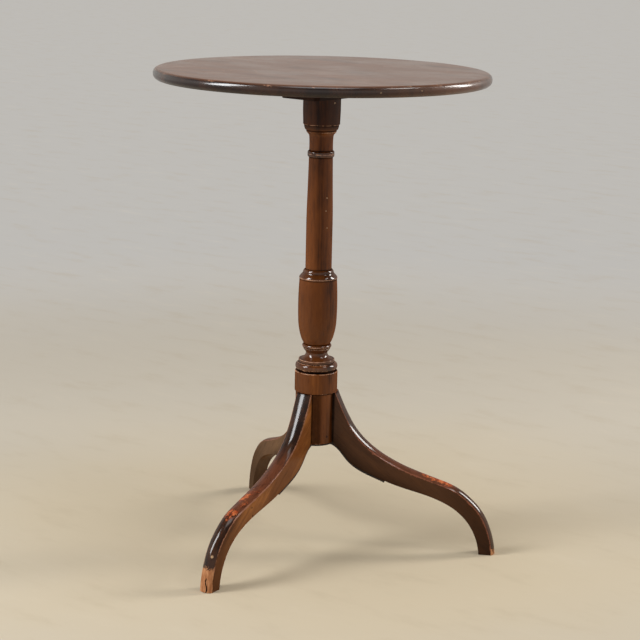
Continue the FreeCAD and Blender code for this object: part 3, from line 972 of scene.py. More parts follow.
        # The coat thins where the wood is dull and where painted shade lies.
        open_coat = sheet.times(sheet.rest_of(dull), sheet.rest_of(wear.painted_shade))
        return {"Roughness": sheet.most(smears, sheet.times(dull, 0.7)),
                "Coat Weight": sheet.times(open_coat, sheet.most(gloss, pooled))}

    def chipped(self, sheet: MaterialSheet) -> Socket | float:
        """Small chips in the polish at known places, each a ragged spot round its point.

        Args:
            sheet: The material's sheet.

        Returns:
            One inside a chip and zero outside.
        """
        found = 0.0
        ragged = sheet.noise(sheet.place, CHIP_EDGE)
        for *point, width in self.chips:
            size = width * MM
            apart = sheet.add("ShaderNodeVectorMath", operation="DISTANCE")
            sheet.link(sheet.place, apart.inputs[0])
            apart.inputs[1].default_value = [value * MM for value in point]
            level = sheet.times_plus(ragged, 1.4 * size, apart.outputs["Value"])
            found = sheet.most(found, sheet.spread(level, 1.4 * size, 1.6 * size, 1.0, 0.0))
        return found


@dataclass(frozen=True)
class PlainWood:
    """Bare or oiled hardwood, for the dowels and the wedge."""

    name: str
    colour: Shade
    deep: Shade
    grain: Grain = Grain.ALONG_Z
    contrast: float = 1.2
    patches: float = 0.35
    grain_height: float = 0.0001

    def build(self, effects: SharedEffects) -> bpy.types.Material:
        """Wires the material: grain with darker, rougher clouds.

        Args:
            effects: The shared node groups.

        Returns:
            The new material.
        """
        sheet = MaterialSheet.start(self.name)
        grain = sheet.placed(effects.grain, Vector=sheet.turned(self.grain.value), Dark=linear(self.deep),
                             Middle=linear(self.colour), Light=linear(self.colour), Contrast=self.contrast,
                             Patches=self.patches)
        rubbed = sheet.spread(sheet.noise(sheet.place, OILED_CLOUD), 0.4, 0.65)
        sheet.shade({
            "Base Color": sheet.mix(sheet.times(rubbed, 0.5), grain.outputs["Color"], linear(self.deep)),
            "Roughness": sheet.spread(rubbed, 0.0, 1.0, 0.5, 0.7),
        })
        sheet.relief(grain.outputs["Height"], 0.5, self.grain_height)
        return sheet.material


@dataclass(frozen=True)
class AgedMetal:
    """Metal under a broken skin of tarnish or rust."""

    name: str
    bright: Shade
    skin: Shade
    spots: Shade
    cover: float
    roughness: tuple[float, float] = (0.28, 0.62)
    bruise_scale: float = 420.0
    bruise_amount: float = 0.3
    skin_height: float = 0.0001

    def build(self, effects: SharedEffects) -> bpy.types.Material:
        """Wires the material: bright metal, its skin by clouds, then specks and bruises.

        Args:
            effects: The shared node groups.

        Returns:
            The new material.
        """
        sheet = MaterialSheet.start(self.name)
        clouds = sheet.noise(sheet.place, TARNISH_CLOUD)
        skin = sheet.spread(clouds, 0.54 - self.cover * 0.4, 0.88 - self.cover * 0.4)
        speckle = sheet.spread(sheet.noise(sheet.place, RUST_SPECKLE), 0.52, 0.66)
        bruises = sheet.placed(effects.bruises, Vector=sheet.place, Scale=self.bruise_scale,
                               Amount=self.bruise_amount)
        colour = sheet.mix(skin, linear(self.bright), linear(self.skin))
        colour = sheet.mix(sheet.times(speckle, skin), colour, linear(self.spots))
        sheet.shade({
            "Base Color": sheet.mix(sheet.times(bruises.outputs["Pits"], 0.6), colour, linear(self.skin)),
            "Metallic": sheet.maths("SUBTRACT", 1.0, sheet.times(skin, 0.75)),
            "Roughness": sheet.spread(skin, 0.0, 1.0, *self.roughness),
        })
        sheet.relief(sheet.times_plus(speckle, 0.5, clouds), 0.4, self.skin_height)
        return sheet.material


@dataclass
class Finishes:
    """Every finish of the table."""

    column: bpy.types.Material
    top: bpy.types.Material
    legs: dict[str, bpy.types.Material]
    block: bpy.types.Material
    bearers: bpy.types.Material
    dowel: bpy.types.Material
    wedge: bpy.types.Material
    brass: bpy.types.Material
    iron: bpy.types.Material
    steel: bpy.types.Material

    @staticmethod
    def build(leg_turns: dict[str, float]) -> "Finishes":
        """Builds the finishes.

        Args:
            leg_turns: Each leg's name and azimuth in degrees, which its grain follows.

        Returns:
            All the finishes.
        """
        effects = SharedEffects.build()
        wanted = {
            "column": PolishedMahogany(
                "mahogany_turned", Grain.ALONG_Z, middle=(117, 64, 25), light=(150, 87, 37), contrast=1.05,
                patches=0.85, arris_wear_and_highlight=0.72, bruise_amount=0.03, coat=0.4, coat_ior=1.6, coat_roughness=0.12,
                chips=((27.6, 11.8, 678.8, 1.5), (18.1, 10.0, 537.9, 1.3), (17.9, 8.5, 518.6, 1.1),
                       (18.9, 10.6, 493.0, 1.0))),
            "top": PolishedMahogany(
                "mahogany_top", Grain.ALONG_X, dark=(52, 28, 17), middle=(108, 65, 38), light=(138, 88, 56),
                aged_varnish_and_shade=(32, 13, 8), contrast=0.62, patches=1.5, hairlines=0.45, grain_height=0.00005, varnish=1.1,
                crown_gloss=0.2, crown_polish=0.5, smears=(1.6, 1.6, 1.1), roughness=(0.30, 0.50), coat=0.5,
                coat_roughness=0.14, specular=0.45, middle_gloss=1.0, edge_gloss=1.0, bruise_scale=45.0,
                bruise_amount=0.015, arris_wear_and_highlight=0.25,
                chips=((209.2, -117.1, 716.6, 1.1), (235.9, -60.5, 717.8, 0.9))),
            # The block's dark brown is painted shade for its place under the top.
            "block": PolishedMahogany(
                "mahogany_block", Grain.ALONG_Y, middle=(50, 29, 19), light=(70, 42, 28), coat=0.3,
                roughness=(0.42, 0.6)),
            "bearers": PolishedMahogany(
                "mahogany_bearers", Grain.ALONG_Y, middle=(84, 50, 32), coat=0.0, roughness=(0.55, 0.72)),
            "dowel": PlainWood("oak_dowel", (142, 106, 66), (84, 56, 32), Grain.ALONG_X),
            "wedge": PlainWood("oak_wedge", (150, 112, 70), (92, 62, 36)),
            "brass": AgedMetal("tarnished_brass", (178, 138, 74), (112, 82, 42), (84, 60, 34), 0.5),
            "iron": AgedMetal("old_iron", (70, 64, 60), (34, 28, 25), (84, 48, 28), 0.9, (0.45, 0.75)),
            "steel": AgedMetal("dulled_steel", (130, 124, 116), (62, 54, 48), (92, 60, 40), 0.55, (0.35, 0.6)),
        }
        legs = Finishes.leg_finishes(effects, leg_turns)
        return Finishes(legs=legs, **{part: finish.build(effects) for part, finish in wanted.items()})

    @staticmethod
    def leg_finishes(effects: SharedEffects, leg_turns: dict[str, float]) -> dict[str, bpy.types.Material]:
        """Builds each leg's finish, its grain sloping down along the leg.

        Args:
            effects: The shared node groups.
            leg_turns: Each leg's name and azimuth in degrees.

        Returns:
            Each leg's finish by its name.
        """
        slope = Matrix.Rotation(math.radians(48.0), 3, "Y")
        looks = {
            "leg_front": {"middle": (118, 70, 36), "light": (164, 104, 54), "rubbed": (164, 112, 86),
                          "contrast": 1.0, "varnish": 0.97,
                          "chips": ((31.7, -249.9, 50.9, 2.6), (29.0, -244.0, 66.0, 1.2))},
            "leg_right": {"middle": (80, 47, 25), "light": (106, 64, 32), "rubbed": (150, 90, 66),
                          "contrast": 0.8, "varnish": 0.30},
            # The back leg's greyer, olive tone is a painted reflection of the floor.
            "leg_left": {"middle": (104, 74, 50), "light": (132, 96, 64), "rubbed": (142, 90, 68),
                         "contrast": 0.8, "varnish": 0.5},
        }
        finishes = {}
        for name, azimuth in leg_turns.items():
            turn = slope @ Matrix.Rotation(math.radians(-azimuth), 3, "Z")
            finishes[name] = PolishedMahogany(
                f"mahogany_{name}", tuple(turn.to_euler()), patches=1.1, arris_wear_and_highlight=0.76, coat=0.5, coat_ior=1.5,
                coat_roughness=0.14, middle_gloss=1.0, edge_gloss=0.3, **looks[name]).build(effects)
        return finishes


# ---- The pieces


@dataclass
class TurnedColumn:
    """The column, one turned length from the tenon in the block down to the stub between the legs.

    A member's size is its radius and its height. Its shares are (up, wide) pairs: how far up the member
    a point lies, and how wide it is there beside the member's radius. A ramp is where a mark starts or
    ends, and over what width. A bend is one over a curve's radius, and the legs' corners are in degrees.
    """

    axis_y: float
    leg_turns: tuple[float, ...]
    foot: float = 163.0 * MM
    head_top: float = 685.0 * MM
    tenon_top: float = 708.55 * MM
    stub: Member = (30.6 * MM, 77.5 * MM)
    drum: Member = (32.3 * MM, 31.7 * MM)
    groove: Member = (29.8 * MM, 3.0 * MM)
    torus: Member = (31.8 * MM, 9.9 * MM)
    step: Member = (27.2 * MM, 5.2 * MM)
    cove: Member = (16.2 * MM, 17.5 * MM)
    ring: Member = (22.2 * MM, 5.6 * MM)
    vase: Member = (29.45 * MM, 100.2 * MM)
    lip: Member = (28.7 * MM, 3.3 * MM)
    lip_bulge: float = 0.5 * MM
    shoulder_height: float = 6.3 * MM
    collar: Member = (23.1 * MM, 5.1 * MM)
    shaft_low: float = 19.7 * MM
    shaft_high: float = 17.8 * MM
    bead: Member = (19.9 * MM, 9.4 * MM)
    bead_soft: float = 2.6 * MM
    neck: Member = (17.5 * MM, 27.9 * MM)
    fillet: Member = (22.4 * MM, 2.6 * MM)
    ovolo: Member = (25.9 * MM, 8.4 * MM)
    head: Triple = (27.2 * MM, 27.9 * MM, 39.8 * MM)
    tenon_radius: float = 12.0 * MM
    arris: float = 0.7 * MM
    torus_shares: Shares = ((0.0, 0.955), (0.15, 0.985), (0.35, 1.0), (0.55, 0.998), (0.72, 0.982), (0.86, 0.948),
                            (0.95, 0.910), (1.0, 0.880))
    cove_shares: Shares = ((0.0, 1.50), (0.08, 1.36), (0.16, 1.235), (0.25, 1.12), (0.34, 1.06), (0.43, 1.02),
                           (0.52, 1.0), (0.61, 1.025), (0.70, 1.095), (0.79, 1.17), (0.87, 1.23), (1.0, 1.29))
    vase_shares: Shares = ((0.0, 0.660), (0.03, 0.717), (0.06, 0.770), (0.12, 0.843), (0.20, 0.912), (0.30, 0.965),
                           (0.42, 0.990), (0.58, 1.0), (0.76, 0.993), (0.90, 0.975), (1.0, 0.957))
    shoulder_shares: Shares = ((0.0, 1.0), (0.20, 0.84), (0.44, 0.575), (0.70, 0.28), (0.90, 0.07), (1.0, 0.0))
    swell_shares: Shares = ((0.0, 1.0), (0.25, 0.99), (0.5, 0.93), (0.75, 0.40), (1.0, 0.0))
    neck_shares: Shares = ((0.0, 1.012), (0.12, 1.004), (0.30, 1.0), (0.50, 1.003), (0.65, 1.015), (0.75, 1.026),
                           (0.81, 1.042), (0.86, 1.075), (0.91, 1.145), (0.96, 1.222), (1.0, 1.265))
    rounding: float = 0.35 * MM
    stations: int = 470
    segments: int = 160
    mark_width: float = 0.8 * MM
    raised_bend: Ramp = (400.0, 900.0)
    hollow_bend: Ramp = (250.0, 600.0)
    most_raised: float = 0.7
    groove_depth: Ramp = (0.9 * MM, 0.6 * MM)
    dark_head: Ramp = (50.0 * MM, 6.0 * MM)
    dark_foot: Ramp = (425.0 * MM, 30.0 * MM)
    stub_fade: float = 2.0 * MM
    member_fade: float = 1.0 * MM
    # Painted shade on the head under the top, laid on in the dark varnish colour.
    head_shade: float = 0.78
    foot_varnish: float = 0.24
    member_varnish: float = 0.6
    # Painted shade on the stub beside each leg's root.
    corner_painted_shade: float = 0.66
    corner_before: Ramp = (-36.0, 6.0)
    corner_after: Ramp = (54.0, 9.0)

    def follow(self, run: Outline, shares: Shares, member: Member, z: float) -> float:
        """Runs a curved member.

        Args:
            run: The profile so far.
            shares: The member's (up, wide) shares.
            member: Its radius and height.
            z: Where it starts.

        Returns:
            The height of its end.
        """
        radius, height = member
        run.through([(radius * wide, z + height * up) for up, wide in shares])
        return z + height

    def foot_outline(self, run: Outline) -> float:
        """Runs from the foot to the vase's base: stub, drum, groove, torus, step, cove and ring.

        Args:
            run: The profile so far.

        Returns:
            The height of the vase's base.
        """
        z = self.foot
        run.to(0.0, z)
        run.to(self.stub[0], z)
        z += self.stub[1]
        run.to(self.stub[0], z)
        run.rubbed(self.drum[0], z + self.arris, 0.55)
        run.to(self.drum[0] - self.arris, z)
        run.to(self.drum[0], z + self.arris)
        z += self.drum[1]
        run.to(self.drum[0], z - self.arris)
        run.rubbed(self.drum[0], z - self.arris / 2, 1.0)
        run.to(self.drum[0] - self.arris, z)
        run.to(self.groove[0], z)
        z += self.groove[1]
        run.to(self.groove[0], z)
        # A painted highlight band low on the torus, laid on as a lighter edge.
        run.rubbed(self.torus[0] * 0.985, z + 0.15 * self.torus[1], 0.6)
        z = self.follow(run, self.torus_shares, self.torus, z)
        run.rubbed(self.torus[0] * 0.89, z - 0.3 * MM, 0.8)
        run.to(self.step[0], z)
        z += self.step[1]
        run.rubbed(self.step[0], z, 0.9)
        run.to(self.step[0], z)
        z = self.follow(run, self.cove_shares, self.cove, z)
        half = self.ring[1] / 2
        run.rubbed(self.ring[0], z + half, 0.75)
        run.to(self.ring[0] - half, z)
        run.corner(self.ring[0], z + half)
        run.corner(self.ring[0] - half, z + 2 * half)
        return z + self.ring[1]

    def shaft_outline(self, run: Outline, z: float) -> float:
        """Runs from the vase's base to the bead: vase, lip, shoulder, collar and swelled shaft.

        Args:
            run: The profile so far.
            z: The height of the vase's base.

        Returns:
            The height of the bead's base.
        """
        z = self.follow(run, self.vase_shares, self.vase, z)
        half = self.lip[1] / 2
        run.rubbed(self.lip[0], z + half, 1.0)
        run.corner(self.lip[0], z + half)
        run.corner(self.lip[0] - self.lip_bulge, z + 2 * half)
        z += self.lip[1]
        spread = self.lip[0] - self.lip_bulge - self.collar[0]
        run.through([(self.collar[0] + spread * wide, z + self.shoulder_height * up)
                     for up, wide in self.shoulder_shares])
        z += self.shoulder_height
        run.corner(self.shaft_low, z + self.collar[1])
        z += self.collar[1]
        above = self.bead[1] + self.neck[1] + self.fillet[1] + self.ovolo[1] + self.head[2]
        rest = self.head_top - z - above
        swell = self.shaft_low - self.shaft_high
        run.through([(self.shaft_high + swell * wide, z + rest * up) for up, wide in self.swell_shares])
        return z + rest

    def head_outline(self, run: Outline, z: float) -> None:
        """Runs from the bead to the tenon's end: bead, neck, fillet, ovolo, head and tenon.

        Args:
            run: The profile so far.
            z: The height of the bead's base.
        """
        # A painted highlight line round the bead's middle, laid on as a lighter edge.
        run.rubbed(self.bead[0], z + self.bead[1] / 2, 0.8)
        run.corner(self.bead[0], z + self.bead_soft)
        z += self.bead[1]
        run.to(self.bead[0], z - self.bead_soft)
        run.corner(self.neck[0] * self.neck_shares[0][1], z)
        z = self.follow(run, self.neck_shares, self.neck, z)
        run.rubbed(self.fillet[0], z, 0.7)
        run.to(self.fillet[0], z)
        z += self.fillet[1]
        run.to(self.fillet[0], z)
        run.corner(self.ovolo[0], z + self.ovolo[1])
        z += self.ovolo[1]
        run.rubbed(self.ovolo[0], z, 0.55)
        run.to(self.head[0], z)
        run.to(self.head[1], z + self.head[2] / 2)
        run.to(self.head[1], self.head_top)
        run.to(self.tenon_radius, self.head_top)
        run.to(self.tenon_radius, self.tenon_top)
        run.to(0.0, self.tenon_top)

    def build(self) -> bpy.types.Object:
        """Spins the profile and paints its marks.

        Returns:
            The column.
        """
        run = Outline()
        self.head_outline(run, self.shaft_outline(run, self.foot_outline(run)))
        profile, bend = run.worked(self.rounding, self.stations)
        # The two points on the axis go, because the skin closes its own ends.
        profile, bend = profile[1:-1], bend[1:-1]
        marks = self.marks(profile, bend, np.array(run.edges))
        return SurfaceGrid(turned(profile, self.segments, self.axis_y), marks).to_object("turned_column")

    def marks(self, profile: np.ndarray, bend: np.ndarray, edges: np.ndarray) -> dict[Mark, np.ndarray]:
        """Where the column has lighter edges and painted highlights, dark varnish, painted shade and thick polish.

        A mark spreads from each sharp point of the profile by a bell curve of its distance along the piece.

        Args:
            profile: The (radius, height) points.
            bend: The bend at each.
            edges: The edges painted lighter, as (radius, height, strength).

        Returns:
            The painted values.
        """
        level = np.ones((1, self.segments))
        height = profile[:, 1]
        near = bell(self.apart(profile, profile), self.mark_width)
        # Convex bends get the lighter edge colour, partly painted highlight; concave bends and the groove get painted
        # shade.
        raised = (near * np.minimum(rise(bend, *self.raised_bend), self.most_raised)).max(axis=1)
        hollow = (near * rise(-bend, *self.hollow_bend)).max(axis=1)
        rubbed = (edges[:, 2] * bell(self.apart(profile, edges[:, :2]), self.mark_width)).max(axis=1)
        groove_middle = self.foot + self.stub[1] + self.drum[1] + self.groove[1] / 2
        groove = np.clip(1.4 - np.abs(height - groove_middle) / self.groove[1], 0.0, 1.0)
        groove *= fall(profile[:, 0], self.drum[0] - self.groove_depth[0], self.groove_depth[1])
        stub = fall(height, self.foot + self.stub[1], self.stub_fade)[:, None]
        members = self.small_members(height)
        # Painted shade on the head, which sits under the top, in the dark varnish colour.
        head = self.head_shade * rise(height, self.head_top - self.dark_head[0], self.dark_head[1])
        low = self.foot_varnish * fall(height, *self.dark_foot)
        polished = np.maximum.reduce([head, low, self.member_varnish * members])[:, None] * (1.0 - stub)
        # Painted shade on the stub beside each leg's root.
        corners = self.corner_painted_shade * self.leg_corners() * stub
        return {
            Mark.ARRIS: np.maximum(raised, rubbed)[:, None] * level,
            Mark.RECESS: np.maximum(np.maximum(hollow, groove)[:, None] * level, corners),
            Mark.CROWN: polished * level,
            Mark.POOLED: members[:, None] * level,
        }

    def leg_corners(self) -> np.ndarray:
        """Painted shade on the stub: one beside each leg's root and zero between the legs, by the angle past each
        leg.

        Returns:
            One row, with a value for each column of the grid.
        """
        turn = np.degrees(around(self.segments))
        past = (turn[None, :] - np.array(self.leg_turns)[:, None] + 180.0) % 360.0 - 180.0
        beside = np.where(past > 0, fall(past, *self.corner_after), rise(past, *self.corner_before))
        return beside.max(axis=0)[None, :]

    def small_members(self, height: np.ndarray) -> np.ndarray:
        """One on the torus, cove, ring, lip, shoulder and bead, where the polish lies thick, and zero elsewhere.

        Args:
            height: The profile's heights.

        Returns:
            The value at each height.
        """
        torus = self.foot + self.stub[1] + self.drum[1] + self.groove[1]
        lip = torus + self.torus[1] + self.step[1] + self.cove[1] + self.ring[1] + self.vase[1]
        bead = self.head_top - self.head[2] - self.ovolo[1] - self.fillet[1] - self.neck[1] - self.bead[1]
        runs = ((torus, lip - self.vase[1]), (lip, lip + self.lip[1] + self.shoulder_height + self.collar[1]),
                (bead, bead + self.bead[1]))
        soft = self.member_fade
        return np.maximum.reduce([rise(height, low, soft) * fall(height, high, soft) for low, high in runs])

    @staticmethod
    def apart(here: np.ndarray, there: np.ndarray) -> np.ndarray:
        """How far each profile point is from each of some others."""
        return np.hypot(here[:, None, 0] - there[None, :, 0], here[:, None, 1] - there[None, :, 1])


@dataclass
class RoundTop:
    """The round top, one board with a rounded edge, polished above and plain below.

    The heights of the shoulder and of the gloss are counted from the face, above zero upwards, and that
    of the plain wood from the underside.
    """

    axis_y: float
    diameter: float = 496.0 * MM
    surface: float = 725.0 * MM
    thickness: float = 16.0 * MM
    edge_radius: float = 7.2 * MM
    rounding: float = 0.5 * MM
    stations: int = 220
    segments: int = 320
    handled_width: float = 0.55
    handled_share: float = 0.8
    shoulder_height: float = -1.6 * MM
    shoulder_width: float = 1.5 * MM
    shoulder_reach: float = 2.0 * MM
    shoulder_wear: float = 0.9
    edge_reach: float = 1.5 * MM
    edge_fade: float = 2.5 * MM
    gloss_foot: Ramp = (-9.5 * MM, 2.5 * MM)
    plain_height: float = 2.5 * MM
    plain_fade: float = 2.0 * MM

    def build(self) -> bpy.types.Object:
        """Spins the board's profile from the middle of its underside to the middle of its face.

        Returns:
            The top.
        """
        run = Outline()
        radius, low = self.diameter / 2, self.surface - self.thickness
        run.to(0.0, low)
        run.to(radius - self.edge_radius, low)
        run.corner(radius, low + self.edge_radius)
        run.to(radius, self.surface - self.edge_radius)
        run.corner(radius - self.edge_radius, self.surface)
        run.to(0.0, self.surface)
        profile = run.worked(self.rounding, self.stations)[0][1:-1]
        points = turned(profile, self.segments, self.axis_y)
        return SurfaceGrid(points, self.marks(profile)).to_object("round_top")

    def marks(self, profile: np.ndarray) -> dict[Mark, np.ndarray]:
        """Where the top is plain, rubbed, dark with old varnish, and glossy.

        The dark band on the rim fades by a bell curve of the angle from the side where hands hold it.

        Args:
            profile: The (radius, height) points.

        Returns:
            The painted values.
        """
        level = np.ones((1, self.segments))
        out = profile[:, :1] - (self.diameter / 2 - self.edge_radius)
        above = profile[:, 1:] - self.surface
        shoulder = bell(above - self.shoulder_height, self.shoulder_width) * rise(out, 0.0, self.shoulder_reach)
        edge = rise(out, 0.0, self.edge_reach) * fall(above, 0.0, self.edge_fade) * level
        angle = around(self.segments)[None, :]
        handled = bell(np.minimum(angle, FULL_TURN - angle), self.handled_width)
        return {
            Mark.UNDERSIDE: fall(above, self.plain_height - self.thickness, self.plain_fade) * level,
            Mark.ARRIS: self.shoulder_wear * shoulder * level,
            Mark.CROWN: edge * (1.0 - self.handled_share * handled),
            Mark.POOLED: edge * rise(above, *self.gloss_foot),
        }


@dataclass
class SawnLeg:
    """A leg sawn from a plank: flat sides, a crowned upper face, and arrises softened by use.

    The shares are (out, up) pairs of the reach and of the root's height. The ramps of the shade, the heel
    and the tread are distances out, the crack's is counted down from the top of the bare toe, and those
    of the toe's front and of the scuffs are shares of the leg's depth.
    """

    name: str
    azimuth: float
    axis_y: float
    bare_toe: float = 0.0
    scuffs: tuple[float, float] | None = None
    split_at: float = 2.5 * MM
    shaded: float = 0.6
    reach: float = 281.5 * MM
    root_height: float = 240.45 * MM
    root_radius: float = 30.6 * MM
    width: float = 27.2 * MM
    toe_width: float = 20.6 * MM
    crown: float = 4.4 * MM
    arris_radius: float = 1.5 * MM
    foot_radius: float = 0.8 * MM
    cut_overrun: float = 0.05 * MM
    foot_bevel: float = 1.1 * MM
    stations: int = 190
    arris_points: int = 7
    crown_points: int = 19
    side_points: int = 12
    foot_points: int = 5
    base_points: int = 10
    arris_wear_and_highlight_width: float = 1.1 * MM
    crown_fade: float = 0.9 * MM
    root_fade: float = 1.6 * MM
    drum_fade: float = 1.2 * MM
    # Painted shade at the root and under the drum.
    root_painted_shade: float = 0.9
    shade_end: Ramp = (200.0 * MM, 70.0 * MM)
    heel: Ramp = (192.0 * MM, 60.0 * MM)
    # Painted shade on the sides and underside towards the toe.
    heel_painted_shade: float = 0.42
    crown_gloss: float = 0.95
    tread_start: Ramp = (74.0 * MM, 26.0 * MM)
    tread_end: Ramp = (228.0 * MM, 20.0 * MM)
    crack_sway: float = 1.4 * MM
    crack_pitch: float = 3.5 * MM
    crack_width: float = 1.3 * MM
    crack_end: Ramp = (6.0 * MM, 4.0 * MM)
    toe_front: Ramp = (0.72, 0.12)
    toe_fade: float = 24.0 * MM
    scuff_top: Ramp = (0.86, 1.0 / 9.0)
    upper_shares: Shares = ((0.085, 1.098), (0.140, 0.950), (0.178, 0.857), (0.226, 0.764), (0.294, 0.679),
                            (0.378, 0.608), (0.478, 0.548), (0.578, 0.504), (0.677, 0.466), (0.777, 0.422),
                            (0.856, 0.357), (0.920, 0.277), (0.9635, 0.182), (0.990, 0.080), (1.0, -0.008))
    lower_shares: Shares = ((0.085, 0.707), (0.115, 0.672), (0.135, 0.647), (0.171, 0.598), (0.220, 0.541),
                            (0.313, 0.484), (0.432, 0.429), (0.5435, 0.392), (0.643, 0.3595), (0.728, 0.319),
                            (0.788, 0.2755), (0.8395, 0.2185), (0.8765, 0.153), (0.9025, 0.077), (0.916, -0.008))

    def spine(self, shares: Shares) -> np.ndarray:
        """A smooth line through stations, as (distance, height) points.

        The stations' own numbers are the spline's parameter, so the two lines of a leg keep step.

        Args:
            shares: The stations.

        Returns:
            The line's points.
        """
        root = self.root_height + self.cut_overrun
        points = np.array([(self.reach * out, root * up) for out, up in shares])
        return smooth_curve(points, self.stations, np.ones(len(points) - 1))

    def section(self, half: np.ndarray, depth: np.ndarray) -> tuple[np.ndarray, np.ndarray, np.ndarray]:
        """One closed cross-section for every station at once.

        The crown is a parabola, and each arris is a round that meets it and the flat side. Across is
        measured from the middle and up from the underside.

        Args:
            half: Half the leg's width at each station.
            depth: The leg's depth at each station.

        Returns:
            Across, up and the distance from the nearest arris, each (stations, points).
        """
        rho, low = self.arris_radius, self.foot_radius
        slope = np.arctan(2 * self.crown / half)
        end = half - rho * (1 - np.sin(slope))
        middle = depth - self.crown * (end / half) ** 2 - rho * np.cos(slope)
        angle = np.linspace(0.0, 1.0, self.arris_points)[None, :] * (math.pi / 2 - slope)[:, None]
        arris_x = (half - rho)[:, None] + rho * np.cos(angle)
        arris_z = middle[:, None] + rho * np.sin(angle)
        crown_x = end[:, None] * np.linspace(1.0, -1.0, self.crown_points)[None, 1:-1]
        crown_z = depth[:, None] - self.crown * (crown_x / half[:, None]) ** 2
        side_z = low + (middle - low)[:, None] * np.linspace(0.0, 1.0, self.side_points)[None, :-1]
        side_x = half[:, None] * np.ones_like(side_z)
        foot = np.linspace(-math.pi / 2, 0.0, self.foot_points)[None, :-1]
        foot_x = (half - low)[:, None] + low * np.cos(foot)
        foot_z = low + low * np.sin(foot) * np.ones((len(half), 1))
        base_x = (half - low)[:, None] * np.linspace(-1.0, 1.0, self.base_points)[None, 1:-1]
        right_x = np.concatenate([foot_x, side_x, arris_x], axis=1)
        right_z = np.concatenate([foot_z, side_z, arris_z], axis=1)
        across = np.concatenate([base_x, right_x, crown_x, -right_x[:, ::-1]], axis=1)
        up = np.concatenate([np.zeros_like(base_x), right_z, crown_z, right_z[:, ::-1]], axis=1)
        near = np.hypot(np.abs(across) - end[:, None], up - (depth - self.crown)[:, None])
        return across, up, near

    def build(self) -> bpy.types.Object:
        """Carries the section along the two spines, then cuts it level at the root and on the floor.

        Returns:
            The leg.
        """
        upper, lower = self.spine(self.upper_shares), self.spine(self.lower_shares)
        lean = upper - lower
        depth = np.linalg.norm(lean, axis=1)
        lean /= depth[:, None]
        half = (self.width + (self.toe_width - self.width) * upper[:, 0] / self.reach) / 2
        across, up, near = self.section(half, depth)
        out = lower[:, :1] + lean[:, :1] * up
        height = lower[:, 1:] + lean[:, 1:] * up
        angle = math.radians(self.azimuth)
        x = out * math.cos(angle) - across * math.sin(angle)
        y = out * math.sin(angle) + across * math.cos(angle) + self.axis_y
        points = np.stack([x, y, height], axis=-1)
        marks = self.marks(out, height, across, up, depth[:, None])
        # The lighter arrises: partly rubbed polish, partly painted highlights.
        marks[Mark.ARRIS] = bell(near, self.arris_wear_and_highlight_width)
        leg = SurfaceGrid(points[::-1], {mark: values[::-1] for mark, values in marks.items()}).to_object(self.name)
        self.cut_level(leg)
        return leg

    def marks(self, out: np.ndarray, height: np.ndarray, across: np.ndarray, up: np.ndarray,
              depth: np.ndarray) -> dict[Mark, np.ndarray]:
        """Where the leg is dark, darkened by painted shade and trodden, bare on its toe, and scuffed in a patch on
        its crown.

        Args:
            out: Distance from the column's axis.
            height: Height over the floor.
            across: Distance from the leg's middle plane.
            up: Height in the section, from the underside.
            depth: The section's depth.

        Returns:
            The painted values.
        """
        on_crown = np.clip((up - depth + self.crown) / self.crown_fade + 0.2, 0.0, 1.0)
        # Painted shade at the root, under the drum, on the low side and towards the heel.
        root = self.root_painted_shade * (1.0 - rise(out, self.root_radius, self.root_fade))
        under_drum = self.root_painted_shade * (1.0 - rise(self.root_height - height, 0.0, self.drum_fade))
        low_side = self.shaded * (1.0 - rise(up, 0.0, 0.5 * depth)) * fall(out, *self.shade_end)
        heel = self.heel_painted_shade * (1.0 - on_crown) * rise(out, *self.heel)
        marks = {
            Mark.CROWN: on_crown,
            Mark.POOLED: self.crown_gloss * on_crown,
            Mark.RECESS: np.maximum.reduce([root, under_drum, low_side, heel]),
            Mark.TRODDEN: on_crown * (rise(out, *self.tread_start) * fall(out, *self.tread_end)),
        }
        if self.bare_toe:
            crack = self.split_at + self.crack_sway * np.sin(height / self.crack_pitch)
            open_wood = fall(height, self.bare_toe - self.crack_end[0], self.crack_end[1])
            marks[Mark.SPLIT] = bell(across - crack, self.crack_width) * open_wood * on_crown
            front = rise(up / depth, *self.toe_front)
            top = self.bare_toe * np.maximum(front, 0.1)
            marks[Mark.BARE] = np.clip((top - height) / self.toe_fade + 0.5, 0.0, 1.0) * front
        if self.scuffs:
            first, last = self.scuffs
            middle, spread = (first + last) / 2, (last - first) / 2
            along = np.clip(1.5 - 1.3 * np.abs(out - middle) / spread, 0.0, 1.0)
            marks[Mark.SCUFF] = along * rise(up / depth, *self.scuff_top)
        return marks

    def cut_level(self, leg: bpy.types.Object) -> None:
        """Cuts the leg at the drum and at the floor, closes both cuts and eases the foot's edge.

        Args:
            leg: The leg, whose ends stand past both cuts.
        """
        sharp, on_floor, crease_degrees = 0.3, 1e-5, 50.0
        with edited(leg.data) as edit:
            for height, way in ((self.root_height, 1.0), (0.0, -1.0)):
                everything = edit.verts[:] + edit.edges[:] + edit.faces[:]
                cut = bmesh.ops.bisect_plane(edit, geom=everything, dist=1e-7, plane_co=(0.0, 0.0, height),
                                             plane_no=(0.0, 0.0, way), clear_outer=True)
                rim = [item for item in cut["geom_cut"] if isinstance(item, bmesh.types.BMEdge)]
                bmesh.ops.holes_fill(edit, edges=rim, sides=0)
            foot = [edge for edge in edit.edges
                    if all(abs(v.co.z) < on_floor for v in edge.verts) and edge.calc_face_angle(0.0) > sharp]
            bmesh.ops.bevel(edit, geom=foot, offset=self.foot_bevel, segments=3, affect="EDGES", profile=0.5,
                            offset_type="OFFSET", clamp_overlap=True)
            bmesh.ops.dissolve_degenerate(edit, dist=0.005 * MM, edges=edit.edges)
            bmesh.ops.recalc_face_normals(edit, faces=edit.faces)
        crease(leg, crease_degrees)


# ---- Assembly


